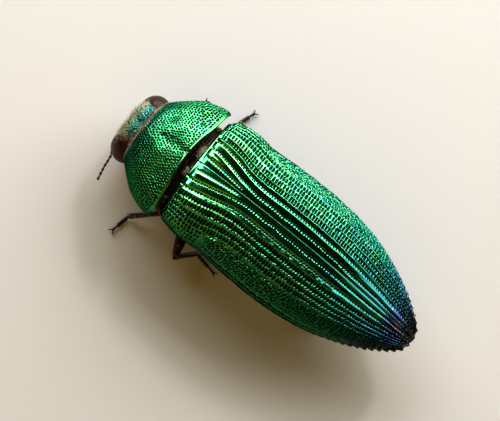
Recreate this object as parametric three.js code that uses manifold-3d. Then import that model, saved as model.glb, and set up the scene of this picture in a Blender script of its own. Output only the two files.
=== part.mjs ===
// A metallic green jewel beetle standing at rest, at life size, in millimetres.
// +Z is up, the head looks along -Y and +X is the beetle's left side.
// Body stations are measured from the front edge of the wing cases (y = 0), and the floor is z = 0.
import * as THREE from 'three';
import { mergeVertices } from 'three/addons/utils/BufferGeometryUtils.js';
import Module from 'manifold-3d';

const wasm = await Module();
wasm.setup();

// ---------------------------------------------------------------- driving dimensions

const SEAM = 0.05; // gap between neighbouring plates
const THINNEST = 0.5; // least thickness of a wing case, leg or feeler
const LIMB_RADIUS = THINNEST / 2;
const NECK_FLEX = THREE.MathUtils.degToRad(12); // how far the prothorax nods down
const FULLNESS = 2.25; // exponent of the superellipse sections: 2 is an ellipse, more is boxier
const FAR = 20; // half-size of a cutting block, past everything
const BODY_SIDES = 16; // facets round the trunk; the wing cases and the prothorax have more
const SHELL_SIDES = 24;
const BALL_FACETS = [12, 7]; // facets round and along an ellipsoid
const LIMB_SIDES = 8; // facets round a leg segment
const LIMB_CAP_RINGS = 2; // rings of facets on each of its round ends
const FEMUR_RINGS = 3; // rings of facets along a swollen segment
const FEELER_STEPS = 8; // steps along a feeler
const FEELER_CURVE_SEGMENTS = 4; // of its round section
const SHELL_RINGS = 13; // rings of facets along the wing cases
const TRUNK_RINGS = 11;
const PROTHORAX_RINGS = 8;
const WELD = 1e-5; // corners closer than this are one

// Wing cases, front to back: [station, half-width, height of the ridge, height of the side edge]
const ELYTRA = [
  [0.0, 2.04, 3.6, 2.45],
  [0.35, 2.24, 3.71, 2.41],
  [1.0, 2.36, 3.82, 2.36],
  [1.9, 2.3, 3.88, 2.33],
  [3.4, 2.39, 3.93, 2.3],
  [5.0, 2.37, 3.88, 2.27],
  [6.5, 2.16, 3.7, 2.24],
  [7.8, 1.74, 3.43, 2.21],
  [8.8, 1.25, 3.15, 2.18],
  [9.5, 0.79, 2.88, 2.16],
  [9.88, 0.43, 2.62, 2.14],
  [10.0, 0.08, 2.36, 2.13],
];

// Underside of the hind body, front to back: [station, height of the keel, half-width]
const BELLY = [
  [-0.15, 1.35, 1.55],
  [0.35, 1.05, 1.95],
  [1.2, 0.92, 2.2],
  [2.6, 0.85, 2.24],
  [4.2, 0.85, 2.27],
  [5.8, 0.93, 2.15],
  [7.2, 1.12, 1.84],
  [8.4, 1.4, 1.34],
  [9.3, 1.72, 0.78],
  [9.75, 1.95, 0.36],
];
const BELLY_CUTS = [0.95, 3.25, 4.85, 6.15, 7.25, 8.3]; // stations of the cuts between its rings
const SOFT_BACK = { from: -0.32, to: 9.2, underside: 2.0 }; // reach of the soft back under the wing cases
const COLLAR = { height: 2.96, to: 0.3 }; // the low collar that fills the gap behind the prothorax
const LEAST_RADIUS = 0.02; // of a loft's end, so that it never closes to a point
const CUTTER_REACH = 1.5; // how far a cutting form runs past the one it hollows

// Prothorax in its own straight frame, front to back:
// [distance ahead of its base, half-width, rise above the hinge line, drop below it]
const PROTHORAX = [
  [1.98, 1.36, 0.99, 1.02],
  [1.68, 1.64, 1.14, 1.12],
  [1.08, 2.12, 1.28, 1.25],
  [0.5, 2.34, 1.35, 1.27],
  [0.15, 2.4, 1.37, 1.22],
  [0.0, 2.37, 1.36, 1.17],
];
const HINGE = new THREE.Vector3(0, -0.18, 2.22); // middle of the prothorax's base
const FLANK_DROP = 0.4; // how far the back plate wraps below the hinge line

const HEAD = { centre: [0, -2.3, 1.72], radii: [1.16, 0.76, 1.02] };
const EYE = { centre: [0.83, -2.39, 1.66], radii: [0.6, 0.58, 0.87], cant: -0.08 };
const CLYPEUS = { centre: [0, -2.84, 0.82], radii: [0.42, 0.26, 0.2] };
const MANDIBLE = { centre: [0.24, -2.62, 0.55], radii: [0.25, 0.27, 0.28] };

// Feelers: points of the left one and of the right one, from the socket to the tip
const ANTENNA_LEFT = [
  [0.5, -2.95, 1.0],
  [0.86, -2.98, 0.84],
  [1.26, -2.72, 0.8],
  [1.76, -2.62, 0.86],
  [2.32, -2.5, 0.92],
];
const ANTENNA_RIGHT = [[-0.5, -2.95, 1.0], [-0.85, -2.94, 0.74], [-1.25, -2.6, 0.52], [-1.5, -1.95, 0.5]];

// Legs: joints from the hip (the inner end of the femur) to the claws. The tarsus lies on the floor.
const ANKLE_HEIGHT = 0.22;
const LEGS = {
  fore_left: { coxa: [0.52, -1.22, 1.04], hip: [0.85, -1.1, 0.94], knee: [1.86, 0.08, 1.1],
    ankle: [2.55, -0.82], toe: [3.3, -0.96] },
  fore_right: { coxa: [-0.52, -1.22, 1.04], hip: [-0.85, -1.1, 0.94], knee: [-1.9, -0.1, 1.12],
    ankle: [-1.98, -1.36], toe: [-2.72, -1.24] },
  mid_left: { coxa: [0.56, 0.72, 0.98], hip: [0.95, 0.82, 0.92], knee: [2.82, 1.46, 1.08],
    ankle: [2.02, 2.0], toe: [2.2, 2.95] },
  mid_right: { coxa: [-0.56, 0.72, 0.98], hip: [-0.95, 0.82, 0.92], knee: [-2.34, 1.2, 1.34],
    ankle: [-2.82, 0.2], toe: [-3.5, 0.42] },
  hind_left: { coxa: [0.85, 2.95, 0.98], hip: [0.98, 3.2, 0.9], knee: [1.74, 4.66, 0.98],
    ankle: [1.5, 6.1], toe: [1.42, 7.1] },
  hind_right: { coxa: [-0.85, 2.95, 0.98], hip: [-0.98, 3.2, 0.9], knee: [-1.86, 4.5, 1.02],
    ankle: [-1.86, 5.96], toe: [-1.9, 6.98] },
};
const COXA_RADII = { fore: [0.4, 0.42, 0.34], mid: [0.4, 0.38, 0.32], hind: [0.66, 0.3, 0.3] };
const FEMUR_SWELL = 0.07; // how much fuller a femur is in its middle
const SHIN_REACH = 0.97; // how far down the way from knee to ankle the tibia's axis runs

// ---------------------------------------------------------------- materials

const material = (color, roughness, metalness) =>
  new THREE.MeshStandardMaterial({ color, roughness, metalness });
const GREEN_CUTICLE = material(0x0f8a58, 0.28, 0.95);
const BRONZE_CUTICLE = material(0x2c3a22, 0.36, 0.8);
const DARK_MEMBRANE = material(0x21150e, 0.6, 0.1);
const LEG_CUTICLE = material(0x2a1c12, 0.34, 0.45);
const EYE_BROWN = material(0x4a2410, 0.2, 0.0);
const JAW_BLACK = material(0x0f0c0a, 0.3, 0.1);

// ---------------------------------------------------------------- solids

/** A closed three.js geometry as a manifold solid. */
function solid(geometry) {
  const bare = geometry.clone();
  bare.deleteAttribute('normal');
  bare.deleteAttribute('uv');
  const merged = mergeVertices(bare, WELD);
  const corners = merged.index.array;
  const kept = [];
  for (let i = 0; i < corners.length; i += 3) {
    const [a, b, c] = corners.slice(i, i + 3);
    if (a !== b && b !== c && a !== c) kept.push(a, b, c);
  }
  return new wasm.Manifold(
    new wasm.Mesh({
      numProp: 3,
      vertProperties: merged.attributes.position.array,
      triVerts: new Uint32Array(kept),
    }),
  );
}

/** A manifold solid as a three.js geometry. */
function geometryOf(shape) {
  const { vertProperties, triVerts, numProp } = shape.getMesh();
  const position = new Float32Array((vertProperties.length / numProp) * 3);
  for (let i = 0; i < position.length / 3; i++) {
    position.set(vertProperties.subarray(i * numProp, i * numProp + 3), i * 3);
  }
  const geometry = new THREE.BufferGeometry();
  geometry.setAttribute('position', new THREE.BufferAttribute(position, 3));
  geometry.setIndex(new THREE.BufferAttribute(triVerts, 1));
  return geometry;
}

/** A smooth curve through rows of numbers: t runs from 0 at the first row to 1 at the last. */
function smooth(rows) {
  const last = rows.length - 1;
  const slope = (i, k) => {
    const before = rows[Math.max(i - 1, 0)][k];
    const after = rows[Math.min(i + 1, last)][k];
    return (after - before) / (Math.min(i + 1, last) - Math.max(i - 1, 0));
  };
  return (t) => {
    const at = t * last;
    const i = Math.min(Math.floor(at), last - 1);
    const f = at - i;
    return rows[i].map((value, k) => {
      const next = rows[i + 1][k];
      return (
        value * (1 + 2 * f) * (1 - f) ** 2 +
        slope(i, k) * f * (1 - f) ** 2 +
        next * f * f * (3 - 2 * f) -
        slope(i + 1, k) * f * f * (1 - f)
      );
    });
  };
}

/** A power that keeps the sign. */
const powered = (value, exponent) => Math.sign(value) * Math.abs(value) ** exponent;

/**
 * A body lofted along +Y. section(t) gives { y, middle, width, rise, drop }, whose outline is a
 * superellipse: half-width to each side, rise above the middle height and drop below it.
 */
function loft(section, around, along) {
  const geometry = new THREE.CylinderGeometry(1, 1, 1, around, along);
  const position = geometry.attributes.position;
  for (let i = 0; i < position.count; i++) {
    const [x, y, z] = [position.getX(i), position.getY(i), position.getZ(i)];
    const ring = section(THREE.MathUtils.clamp(y + 0.5, 0, 1));
    const height = z > 0 ? ring.rise : ring.drop;
    position.setXYZ(
      i,
      ring.width * powered(x, 2 / FULLNESS),
      ring.y,
      ring.middle + height * powered(z, 2 / FULLNESS),
    );
  }
  return solid(geometry);
}

/** An ellipsoid: centre, radii, a turn about the Y axis and an allowance all round. */
function ellipsoid({ centre, radii, cant = 0 }, allowance = 0, side = 1) {
  const geometry = new THREE.SphereGeometry(1, ...BALL_FACETS);
  geometry.scale(...radii.map((r) => r + allowance));
  geometry.rotateY(cant * side);
  geometry.translate(centre[0] * side, centre[1], centre[2]);
  return solid(geometry);
}

/** A limb segment: a capsule from one point to another, whose radius along it is girth(0..1). */
function limb(from, to, girth, allowance = 0) {
  const start = new THREE.Vector3(...from);
  const axis = new THREE.Vector3(...to).sub(start);
  const length = axis.length();
  const rings = girth === evenGirth ? 1 : FEMUR_RINGS;
  const geometry = new THREE.CapsuleGeometry(1, length, LIMB_CAP_RINGS, LIMB_SIDES, rings);
  const position = geometry.attributes.position;
  for (let i = 0; i < position.count; i++) {
    const y = position.getY(i) + length / 2;
    const radius = girth(THREE.MathUtils.clamp(y / length, 0, 1)) + allowance;
    const past = y - THREE.MathUtils.clamp(y, 0, length);
    position.setXYZ(
      i,
      position.getX(i) * radius,
      y - past + past * radius,
      position.getZ(i) * radius,
    );
  }
  geometry.applyQuaternion(
    new THREE.Quaternion().setFromUnitVectors(new THREE.Vector3(0, 1, 0), axis.normalize()),
  );
  geometry.translate(...from);
  return solid(geometry);
}

/** A round feeler along a smooth curve through the given points. */
function feeler(points) {
  const curve = new THREE.CatmullRomCurve3(points.map((p) => new THREE.Vector3(...p)));
  const section = new THREE.Shape().absarc(0, 0, LIMB_RADIUS, 0, 2 * Math.PI);
  const settings = { steps: FEELER_STEPS, curveSegments: FEELER_CURVE_SEGMENTS, extrudePath: curve };
  return solid(new THREE.ExtrudeGeometry(section, settings));
}

/** A block between two corners. */
function block(low, high) {
  const size = high.map((value, k) => value - low[k]);
  const geometry = new THREE.BoxGeometry(...size);
  geometry.translate(...low.map((value, k) => value + size[k] / 2));
  return solid(geometry);
}

/** Everything between two stations along Y. */
const slab = (from, to) => block([-FAR, from, -FAR], [FAR, to, FAR]);

/** Everything to one side of the middle: side is 1 for the left and -1 for the right. */
const half = (side) =>
  side > 0
    ? block([SEAM / 2, -FAR, -FAR], [FAR, FAR, FAR])
    : block([-FAR, -FAR, -FAR], [-SEAM / 2, FAR, FAR]);

// ---------------------------------------------------------------- hind body

const elytraRow = smooth(ELYTRA);
const bellyRow = smooth(BELLY);

/**
 * The wing cases' outer form taken in all round by an inset, with a flat underside.
 * The front face and the underside move out by the reach.
 */
function wingCaseForm(inset, reach) {
  const length = ELYTRA[ELYTRA.length - 1][0];
  return loft(
    (t) => {
      const [y, width, top, edge] = elytraRow(t);
      return {
        y: t === 0 ? -reach : y * (1 - inset / length),
        middle: edge,
        width: Math.max(width - inset, LEAST_RADIUS),
        rise: Math.max(top - edge - inset, LEAST_RADIUS),
        drop: reach,
      };
    },
    SHELL_SIDES,
    SHELL_RINGS,
  );
}

/** Height of the wing cases' side edge at a station. */
function edgeHeight(station) {
  const first = ELYTRA[0];
  const last = ELYTRA[ELYTRA.length - 1];
  return THREE.MathUtils.mapLinear(station, first[0], last[0], first[3], last[3]);
}

/** The soft body under the wing cases and the plates below it, as one solid. */
function hindBody() {
  const below = loft(
    (t) => {
      const [y, keel, width] = bellyRow(t);
      const lid = edgeHeight(y) - 2 * SEAM;
      return { y, middle: lid, width, rise: 0, drop: lid - keel };
    },
    BODY_SIDES,
    TRUNK_RINGS,
  );
  const above = wingCaseForm(THINNEST + 2 * SEAM, -SOFT_BACK.from)
    .intersect(block([-FAR, SOFT_BACK.from, SOFT_BACK.underside], [FAR, SOFT_BACK.to, FAR]))
    .subtract(block([-FAR, -FAR, COLLAR.height], [FAR, COLLAR.to, FAR]));
  return below.add(above);
}

// ---------------------------------------------------------------- prothorax

const prothoraxRow = smooth(PROTHORAX);

/** Turns a solid made in the prothorax's straight frame to where it nods. */
function nod(shape) {
  const matrix = new THREE.Matrix4()
    .makeTranslation(HINGE)
    .multiply(new THREE.Matrix4().makeRotationX(NECK_FLEX));
  return shape.transform(matrix.toArray());
}

/** The whole prothorax in its straight frame. */
function prothoraxForm() {
  return loft(
    (t) => {
      const [distance, width, rise, drop] = prothoraxRow(t);
      return { y: -distance, middle: 0, width, rise, drop };
    },
    SHELL_SIDES,
    PROTHORAX_RINGS,
  );
}

/** Everything the prothorax leaves no room for, ahead of its base and behind its front face. */
const prothoraxBlock = () =>
  nod(block([-FAR, -PROTHORAX[0][0] - SEAM, -FAR], [FAR, SEAM, FAR]));

// ---------------------------------------------------------------- legs

/** Girth of a spindle-shaped femur. */
const femurGirth = (t) => LIMB_RADIUS + FEMUR_SWELL * Math.sin(Math.PI * t);

/** Girth of a segment of even thickness. */
const evenGirth = () => LIMB_RADIUS;

/** One leg's solids, cut clear of each other from the hip outwards. */
function legSolids(name, { coxa, hip, knee, ankle, toe }) {
  const kind = name.split('_')[0];
  const foot = [...ankle, ANKLE_HEIGHT];
  const tip = [...toe, ANKLE_HEIGHT];
  const socket = { centre: coxa, radii: COXA_RADII[kind] };
  const shin = foot.map((value, k) => THREE.MathUtils.lerp(knee[k], value, SHIN_REACH));
  return {
    coxa: ellipsoid(socket),
    femur: limb(hip, knee, femurGirth).subtract(ellipsoid(socket, SEAM)),
    tibia: limb(knee, shin, evenGirth)
      .subtract(limb(hip, knee, femurGirth, SEAM))
      .subtract(limb(foot, tip, evenGirth, SEAM)),
    tarsus: limb(foot, tip, evenGirth).intersect(block([-FAR, -FAR, 0], [FAR, FAR, FAR])),
    clearance: ellipsoid(socket, SEAM).add(limb(hip, knee, femurGirth, SEAM)),
  };
}

// ---------------------------------------------------------------- the beetle

const beetle = new THREE.Group();

/** Adds a named sub-part. */
function add(name, shape, finish) {
  const mesh = new THREE.Mesh(geometryOf(shape), finish);
  mesh.name = name;
  beetle.add(mesh);
}

const legs = Object.entries(LEGS).map(([name, joints]) => [name, legSolids(name, joints)]);
const clearOfLegs = (shape) =>
  legs.reduce((left, [, leg]) => left.subtract(leg.clearance), shape);

for (const [name, leg] of legs) {
  add(`coxa_${name}`, leg.coxa, LEG_CUTICLE);
  add(`femur_${name}`, leg.femur, LEG_CUTICLE);
  add(`tibia_${name}`, leg.tibia, LEG_CUTICLE);
  add(`tarsus_${name}`, leg.tarsus, LEG_CUTICLE);
}

const wingCases = wingCaseForm(0, 0).subtract(wingCaseForm(THINNEST, CUTTER_REACH));
add('elytron_left', wingCases.intersect(half(1)), GREEN_CUTICLE);
add('elytron_right', wingCases.intersect(half(-1)), GREEN_CUTICLE);

const trunk = clearOfLegs(hindBody().subtract(prothoraxBlock()));
const ABDOMEN = ['abdomen_1', 'abdomen_2', 'abdomen_3', 'abdomen_4', 'abdomen_5'];
['mesothorax', 'metathorax', ...ABDOMEN].forEach((name, i) => {
  const from = i === 0 ? -FAR : BELLY_CUTS[i - 1] + SEAM / 2;
  const to = i < BELLY_CUTS.length ? BELLY_CUTS[i] - SEAM / 2 : FAR;
  add(name, trunk.intersect(slab(from, to)), i === 0 ? DARK_MEMBRANE : BRONZE_CUTICLE);
});

const prothorax = prothoraxForm();
const aboveFlank = block([-FAR, -FAR, -FLANK_DROP + SEAM / 2], [FAR, FAR, FAR]);
const belowFlank = block([-FAR, -FAR, -FAR], [FAR, FAR, -FLANK_DROP - SEAM / 2]);
add('pronotum', clearOfLegs(nod(prothorax.intersect(aboveFlank))), GREEN_CUTICLE);
add('prosternum', clearOfLegs(nod(prothorax.intersect(belowFlank))), BRONZE_CUTICLE);

const eyeRoom = [1, -1].map((side) => ellipsoid(EYE, SEAM, side));
const jawRoom = [1, -1].map((side) => ellipsoid(MANDIBLE, SEAM, side));
const withoutAll = (shape, rooms) => rooms.reduce((left, room) => left.subtract(room), shape);
const capsule = ellipsoid(HEAD).subtract(prothoraxBlock());
const clypeusRoom = ellipsoid(CLYPEUS, SEAM);
add('head', withoutAll(capsule, [...eyeRoom, ...jawRoom, clypeusRoom]), GREEN_CUTICLE);
add('clypeus', withoutAll(ellipsoid(CLYPEUS), jawRoom), JAW_BLACK);
for (const [side, name] of [[1, 'left'], [-1, 'right']]) {
  add(`eye_${name}`, ellipsoid(EYE, 0, side).subtract(prothoraxBlock()), EYE_BROWN);
  add(`mandible_${name}`, ellipsoid(MANDIBLE, 0, side).intersect(half(side)), JAW_BLACK);
}
const faceRoom = [ellipsoid(HEAD, SEAM), ...eyeRoom, clypeusRoom, ...jawRoom, prothoraxBlock()];
add('antenna_left', withoutAll(feeler(ANTENNA_LEFT), faceRoom), LEG_CUTICLE);
add('antenna_right', withoutAll(feeler(ANTENNA_RIGHT), faceRoom), LEG_CUTICLE);

// The origin is under the middle of the whole beetle, on the floor.
const extent = new THREE.Box3().setFromObject(beetle);
const middle = extent.getCenter(new THREE.Vector3());
beetle.position.set(-middle.x, -middle.y, -extent.min.z);

export default beetle;
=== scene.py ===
"""A metallic green jewel beetle, life size, standing still on a pale studio floor.

Shapes are worked out in millimetres in the beetle's own frame: +Z up, the head along -Y, +X its left side,
y = 0 at the front edge of the wing cases and z = 0 at the floor. A station is a distance along +Y.
new_piece() turns points into metres in the shared frame.
"""
import logging
import math
from dataclasses import dataclass, field
from enum import Enum
from typing import Any, Callable, Sequence

import bmesh
import bpy
import numpy as np
from mathutils import Matrix, Vector


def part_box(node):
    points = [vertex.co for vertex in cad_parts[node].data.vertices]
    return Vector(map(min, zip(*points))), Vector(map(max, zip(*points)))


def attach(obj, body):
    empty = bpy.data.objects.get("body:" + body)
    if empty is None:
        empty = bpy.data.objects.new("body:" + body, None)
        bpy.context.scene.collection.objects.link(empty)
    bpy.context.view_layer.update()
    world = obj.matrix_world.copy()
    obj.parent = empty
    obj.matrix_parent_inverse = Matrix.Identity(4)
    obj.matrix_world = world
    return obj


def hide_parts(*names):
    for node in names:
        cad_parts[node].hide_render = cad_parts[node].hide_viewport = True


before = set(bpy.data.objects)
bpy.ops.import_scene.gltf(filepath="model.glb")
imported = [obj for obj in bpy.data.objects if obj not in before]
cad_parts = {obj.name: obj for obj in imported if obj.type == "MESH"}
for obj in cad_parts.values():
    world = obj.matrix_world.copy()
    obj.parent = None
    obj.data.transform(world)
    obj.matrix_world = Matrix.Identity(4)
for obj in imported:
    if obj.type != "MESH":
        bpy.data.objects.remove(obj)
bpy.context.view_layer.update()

LOG = logging.getLogger("jewel_beetle")
MM = 0.001  # metres in a millimetre
BODY = "root"
BAKE_MAP = "OFBake"
SEED = 20
FULLNESS = 2.25  # exponent of the body's superellipse sections
ARCH_STEPS = 500  # steps in which the length of an arch is measured
TINY = 1e-12  # the least length that a vector is divided by
SAME_PLACE = 2e-8  # metres within which two points are one
NO_LENGTH = 1e-8  # metres below which an edge is dropped

Array = np.ndarray
Tree = bpy.types.NodeTree
Socket = bpy.types.NodeSocket
Row = Sequence[float]
Rows = Sequence[Row]
Grid = tuple[int, int]
Pair = tuple[float, float]
Triple = tuple[float, float, float]
Colour = tuple[float, float, float, float]
Marks = dict[str, Array]


# -------- curves and surfaces


def beetle_origin() -> Array:
    """Finds where y = 0 and the middle plane lie in the shared frame, in metres.

    Returns:
        The point of the frame that is the origin of the beetle's own millimetres.
    """
    left_low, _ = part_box("elytron_left")
    _, right_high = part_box("elytron_right")
    return np.array([(left_low.x + right_high.x) / 2, left_low.y, 0.0])


ORIGIN = beetle_origin()


def smooth(rows: Rows, t: Array) -> Array:
    """Follows a smooth curve through rows of numbers.

    Args:
        rows: the rows that the curve passes through.
        t: where to read it, from 0 at the first row to 1 at the last.

    Returns:
        One row of numbers for each t.
    """
    table = np.asarray(rows, float)
    slopes = np.gradient(table, axis=0)
    at = np.clip(t, 0, 1) * (len(table) - 1)
    i = np.minimum(at.astype(int), len(table) - 2)
    f = (at - i)[..., None]
    return (
        table[i] * (1 + 2 * f) * (1 - f) ** 2
        + slopes[i] * f * (1 - f) ** 2
        + table[i + 1] * f * f * (3 - 2 * f)
        - slopes[i + 1] * f * f * (1 - f)
    )


def ease(low: float, high: float, value: Array) -> Array:
    """Rises smoothly from 0 at low to 1 at high; low may be the greater of the two."""
    f = np.clip((value - low) / (high - low), 0, 1)
    return f * f * (3 - 2 * f)


def fade(low: float, high: float, value: Array) -> Array:
    """Falls smoothly from 1 at low to 0 at high."""
    return 1 - ease(low, high, value)


def hump(offset: Array, width: float) -> Array:
    """A bell of height 1 and the given half-width round an offset of 0."""
    return np.exp(-((offset / width) ** 2))


def length_along(steps: Array) -> Array:
    """Adds up the steps of a line, starting from 0."""
    return np.concatenate([[0], np.cumsum(steps)])


def unit(vectors: Array) -> Array:
    """The same vectors at a length of 1."""
    return vectors / np.maximum(np.linalg.norm(vectors, axis=-1, keepdims=True), TINY)


def scatter(i: Array, j: Array, seed: float) -> Array:
    """A fixed random number from 0 to 1 for each pair of whole numbers."""
    value = np.sin(i * 127.1 + j * 311.7 + seed * 74.7) * 43758.5453
    return value - np.floor(value)


def ripple(u: Array, v: Array, size: float, seed: float) -> Array:
    """Makes soft noise from -1 to 1.

    Args:
        u: first coordinate of each point.
        v: second coordinate of each point.
        size: distance between neighbouring lumps, in the same unit.
        seed: which noise of the kind it is.

    Returns:
        The noise at each point.
    """
    i, j = np.floor(u / size), np.floor(v / size)
    fu, fv = ease(0, 1, u / size - i), ease(0, 1, v / size - j)
    low = scatter(i, j, seed) * (1 - fu) + scatter(i + 1, j, seed) * fu
    high = scatter(i, j + 1, seed) * (1 - fu) + scatter(i + 1, j + 1, seed) * fu
    return 2 * (low * (1 - fv) + high * fv) - 1


def nearest_pit(u: Array, v: Array, pitch: float, jitter: float, seed: float) -> Array:
    """Measures the distance from each point to the nearest pit of a loose honeycomb.

    Args:
        u: first coordinate of each point, in millimetres.
        v: second coordinate of each point, in millimetres.
        pitch: distance between neighbouring pits.
        jitter: how far a pit strays from its place, as a share of the pitch.
        seed: which honeycomb of the kind it is.

    Returns:
        The distances in pitches.
    """
    tall = pitch * math.sqrt(3) / 2
    best = np.full(np.broadcast(u, v).shape, np.inf)
    for dj in (-1, 0, 1):
        j = np.floor(v / tall) + dj
        slide = 0.5 * np.mod(j, 2)
        for di in (-1, 0, 1):
            i = np.floor(u / pitch - slide) + di
            at_u = (i + 0.5 + slide + jitter * (scatter(i, j, seed) - 0.5)) * pitch
            at_v = (j + 0.5 + jitter * (scatter(j, i, seed + 1) - 0.5)) * tall
            best = np.minimum(best, np.hypot(u - at_u, v - at_v) / pitch)
    return best


def arch(width: Array, rise: Array, across: Array) -> Array:
    """Spreads points evenly along superellipse arches, from the ridge down to the side.

    Args:
        width: half-width of each arch.
        rise: height of each arch.
        across: the share of the arch's length at which each point lies.

    Returns:
        Array (arches, points, 3) of x, height and length along the arch.
    """
    turn = np.linspace(0, math.pi / 2, ARCH_STEPS)
    x = np.sin(turn) ** (2 / FULLNESS)
    z = np.cos(turn) ** (2 / FULLNESS)
    out = np.empty((len(width), len(across), 3))
    for k, (w, r) in enumerate(zip(width, rise)):
        run = length_along(np.hypot(np.diff(x) * w, np.diff(z) * r))
        at = across * run[-1]
        out[k] = np.stack([np.interp(at, run, x * w), np.interp(at, run, z * r), at], axis=1)
    return out


def both_sides(half: Array, sign: float = 1.0) -> Array:
    """A left half, from side to middle, with its mirror image; a sign of -1 is for values such as x."""
    return np.concatenate([half, sign * half[:, ::-1]], axis=1)


@dataclass
class Sheet:
    """A surface held as a grid of points, with named marks for its finish."""

    points: Array  # (rows, columns, 3), in the beetle's millimetres
    # values from 0 to 1 at each point, such as how deep in a pit it is
    marks: Marks = field(default_factory=dict)
    ring: bool = False  # whether the last column joins the first

    def normals(self) -> Array:
        """Finds the unit normals, by the right-hand rule from rows to columns.

        Returns:
            One normal for each point.
        """
        p = self.points
        if self.ring:
            p = np.concatenate([p[:, -1:], p, p[:, :1]], axis=1)
        rows, columns = np.gradient(p, axis=0), np.gradient(p, axis=1)
        if self.ring:
            rows, columns = rows[:, 1:-1], columns[:, 1:-1]
        return unit(np.cross(rows, columns))

    def push(self, height: Array) -> "Sheet":
        """The same surface moved out along its normals by a height at each point."""
        return Sheet(self.points + self.normals() * height[..., None], self.marks, self.ring)

    def turned(self, matrix: Matrix) -> "Sheet":
        """The same surface moved by a matrix."""
        m = np.array(matrix)
        return Sheet(self.points @ m[:3, :3].T + m[:3, 3], self.marks, self.ring)

    def mirrored(self) -> "Sheet":
        """The same surface on the beetle's other side, still facing out."""
        flipped = self.points[:, ::-1] * (-1.0, 1.0, 1.0)
        return Sheet(flipped, {key: value[:, ::-1] for key, value in self.marks.items()}, self.ring)

    def bordered(self, points: Array, rows: Grid, columns: Grid) -> "Sheet":
        """The sheet with rows and columns added before and after its own, whose marks its edges lend them."""
        return Sheet(points, {key: np.pad(mark, (rows, columns), "edge") for key, mark in self.marks.items()})


def new_piece(name: str, points: Array, faces: list[list[int]]) -> bpy.types.Object:
    """Adds a mesh object to the scene.

    Args:
        name: the piece's name.
        points: array (n, 3), in the beetle's millimetres.
        faces: the numbers of each face's points.

    Returns:
        The object, in metres in the shared frame.
    """
    mesh = bpy.data.meshes.new(name)
    mesh.from_pydata((points * MM + ORIGIN).tolist(), [], faces)
    piece = bpy.data.objects.new(name, mesh)
    bpy.context.scene.collection.objects.link(piece)
    return piece


def set_mark(mesh: bpy.types.Mesh, name: str, values: Array) -> None:
    """Stores a value at each of a mesh's points, for its finish to read."""
    mesh.attributes.new(name, "FLOAT", "POINT").data.foreach_set("value", values.astype(np.float32))


def weld(mesh: bpy.types.Mesh) -> None:
    """Joins points that coincide, drops faces of no size and smooths the shading.

    Args:
        mesh: the mesh, which is changed.
    """
    net = bmesh.new()
    net.from_mesh(mesh)
    bmesh.ops.remove_doubles(net, verts=net.verts, dist=SAME_PLACE)
    bmesh.ops.dissolve_degenerate(net, edges=net.edges, dist=NO_LENGTH)
    for face in net.faces:
        face.smooth = True
    net.to_mesh(mesh)
    net.free()


def weave(name: str, sheets: Sequence[Sheet], own_map: bool = False) -> bpy.types.Object:
    """Makes one mesh object from sheets.

    Args:
        name: the piece's name.
        sheets: its surfaces; all carry the marks of the first.
        own_map: whether a single sheet's rows and columns become its bake map.

    Returns:
        The object.
    """
    points, faces, start = [], [], 0
    marks: dict[str, list[Array]] = {key: [] for key in sheets[0].marks}
    for sheet in sheets:
        rows, columns = sheet.points.shape[:2]
        index = np.arange(rows * columns).reshape(rows, columns) + start
        start += rows * columns
        if sheet.ring:
            index = np.concatenate([index, index[:, :1]], axis=1)
        corners = (index[:-1, :-1], index[1:, :-1], index[1:, 1:], index[:-1, 1:])
        faces.append(np.stack(corners, axis=-1).reshape(-1, 4))
        points.append(sheet.points.reshape(-1, 3))
        for key, values in marks.items():
            value = sheet.marks.get(key, np.zeros((rows, columns)))
            values.append(np.broadcast_to(value, (rows, columns)).ravel())
    every_face = np.concatenate(faces)
    piece = new_piece(name, np.concatenate(points), every_face.tolist())
    for key, values in marks.items():
        set_mark(piece.data, key, np.concatenate(values))
    if own_map:
        rows, columns = sheets[0].points.shape[:2]
        u, v = np.meshgrid(np.linspace(0, 1, columns), np.linspace(0, 1, rows))
        uv = np.stack([u.ravel(), v.ravel()], axis=1)[every_face.ravel()]
        piece.data.uv_layers.new(name=BAKE_MAP).data.foreach_set("uv", uv.ravel())
    weld(piece.data)
    return piece


def dress(piece: bpy.types.Object, finish: "Finish", *nodes: str) -> None:
    """Gives a piece its finish and the CAD nodes that it stands for.

    Args:
        piece: the mesh object.
        finish: what it is made of.
        nodes: names of the CAD nodes that it replaces.
    """
    piece.data.materials.append(finish.material())
    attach(piece, BODY)
    if nodes:
        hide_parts(*nodes)
    LOG.info("%s: %d faces", piece.name, len(piece.data.polygons))


# -------- finishes


class Slot(Enum):
    """The material slots of the part's record."""

    WING_CASE = "wing_case"
    PRONOTUM = "pronotum"
    HEAD_SHELL = "head_shell"
    UNDERSIDE = "underside"
    NECK_SKIN = "neck_skin"
    LEG = "leg"
    ANTENNA = "antenna"
    EYE = "eye"
    JAW = "jaw"
    PALE_HAIR = "pale_hair"
    BROWN_HAIR = "brown_hair"


def linear(hex_colour: str) -> Colour:
    """Turns an sRGB hex colour such as "#1f8a5b" into the linear colour that shaders take."""
    channels = [int(hex_colour[i : i + 2], 16) / 255 for i in (1, 3, 5)]
    return (*[c / 12.92 if c <= 0.04045 else ((c + 0.055) / 1.055) ** 2.4 for c in channels], 1.0)


def add_node(
    tree: Tree, kind: str, sockets: dict[str | int, Any] | None = None, **settings: Any
) -> bpy.types.Node:
    """Adds a node to a tree.

    Args:
        tree: the tree.
        kind: the node's type name, after "ShaderNode".
        sockets: input sockets by name or number, each given a value or another node's output.
        settings: properties of the node.

    Returns:
        The node.
    """
    node = tree.nodes.new("ShaderNode" + kind)
    for key, value in settings.items():
        setattr(node, key, value)
    for key, value in (sockets or {}).items():
        if isinstance(value, Socket):
            tree.links.new(value, node.inputs[key])
        else:
            node.inputs[key].default_value = value
    return node


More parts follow.
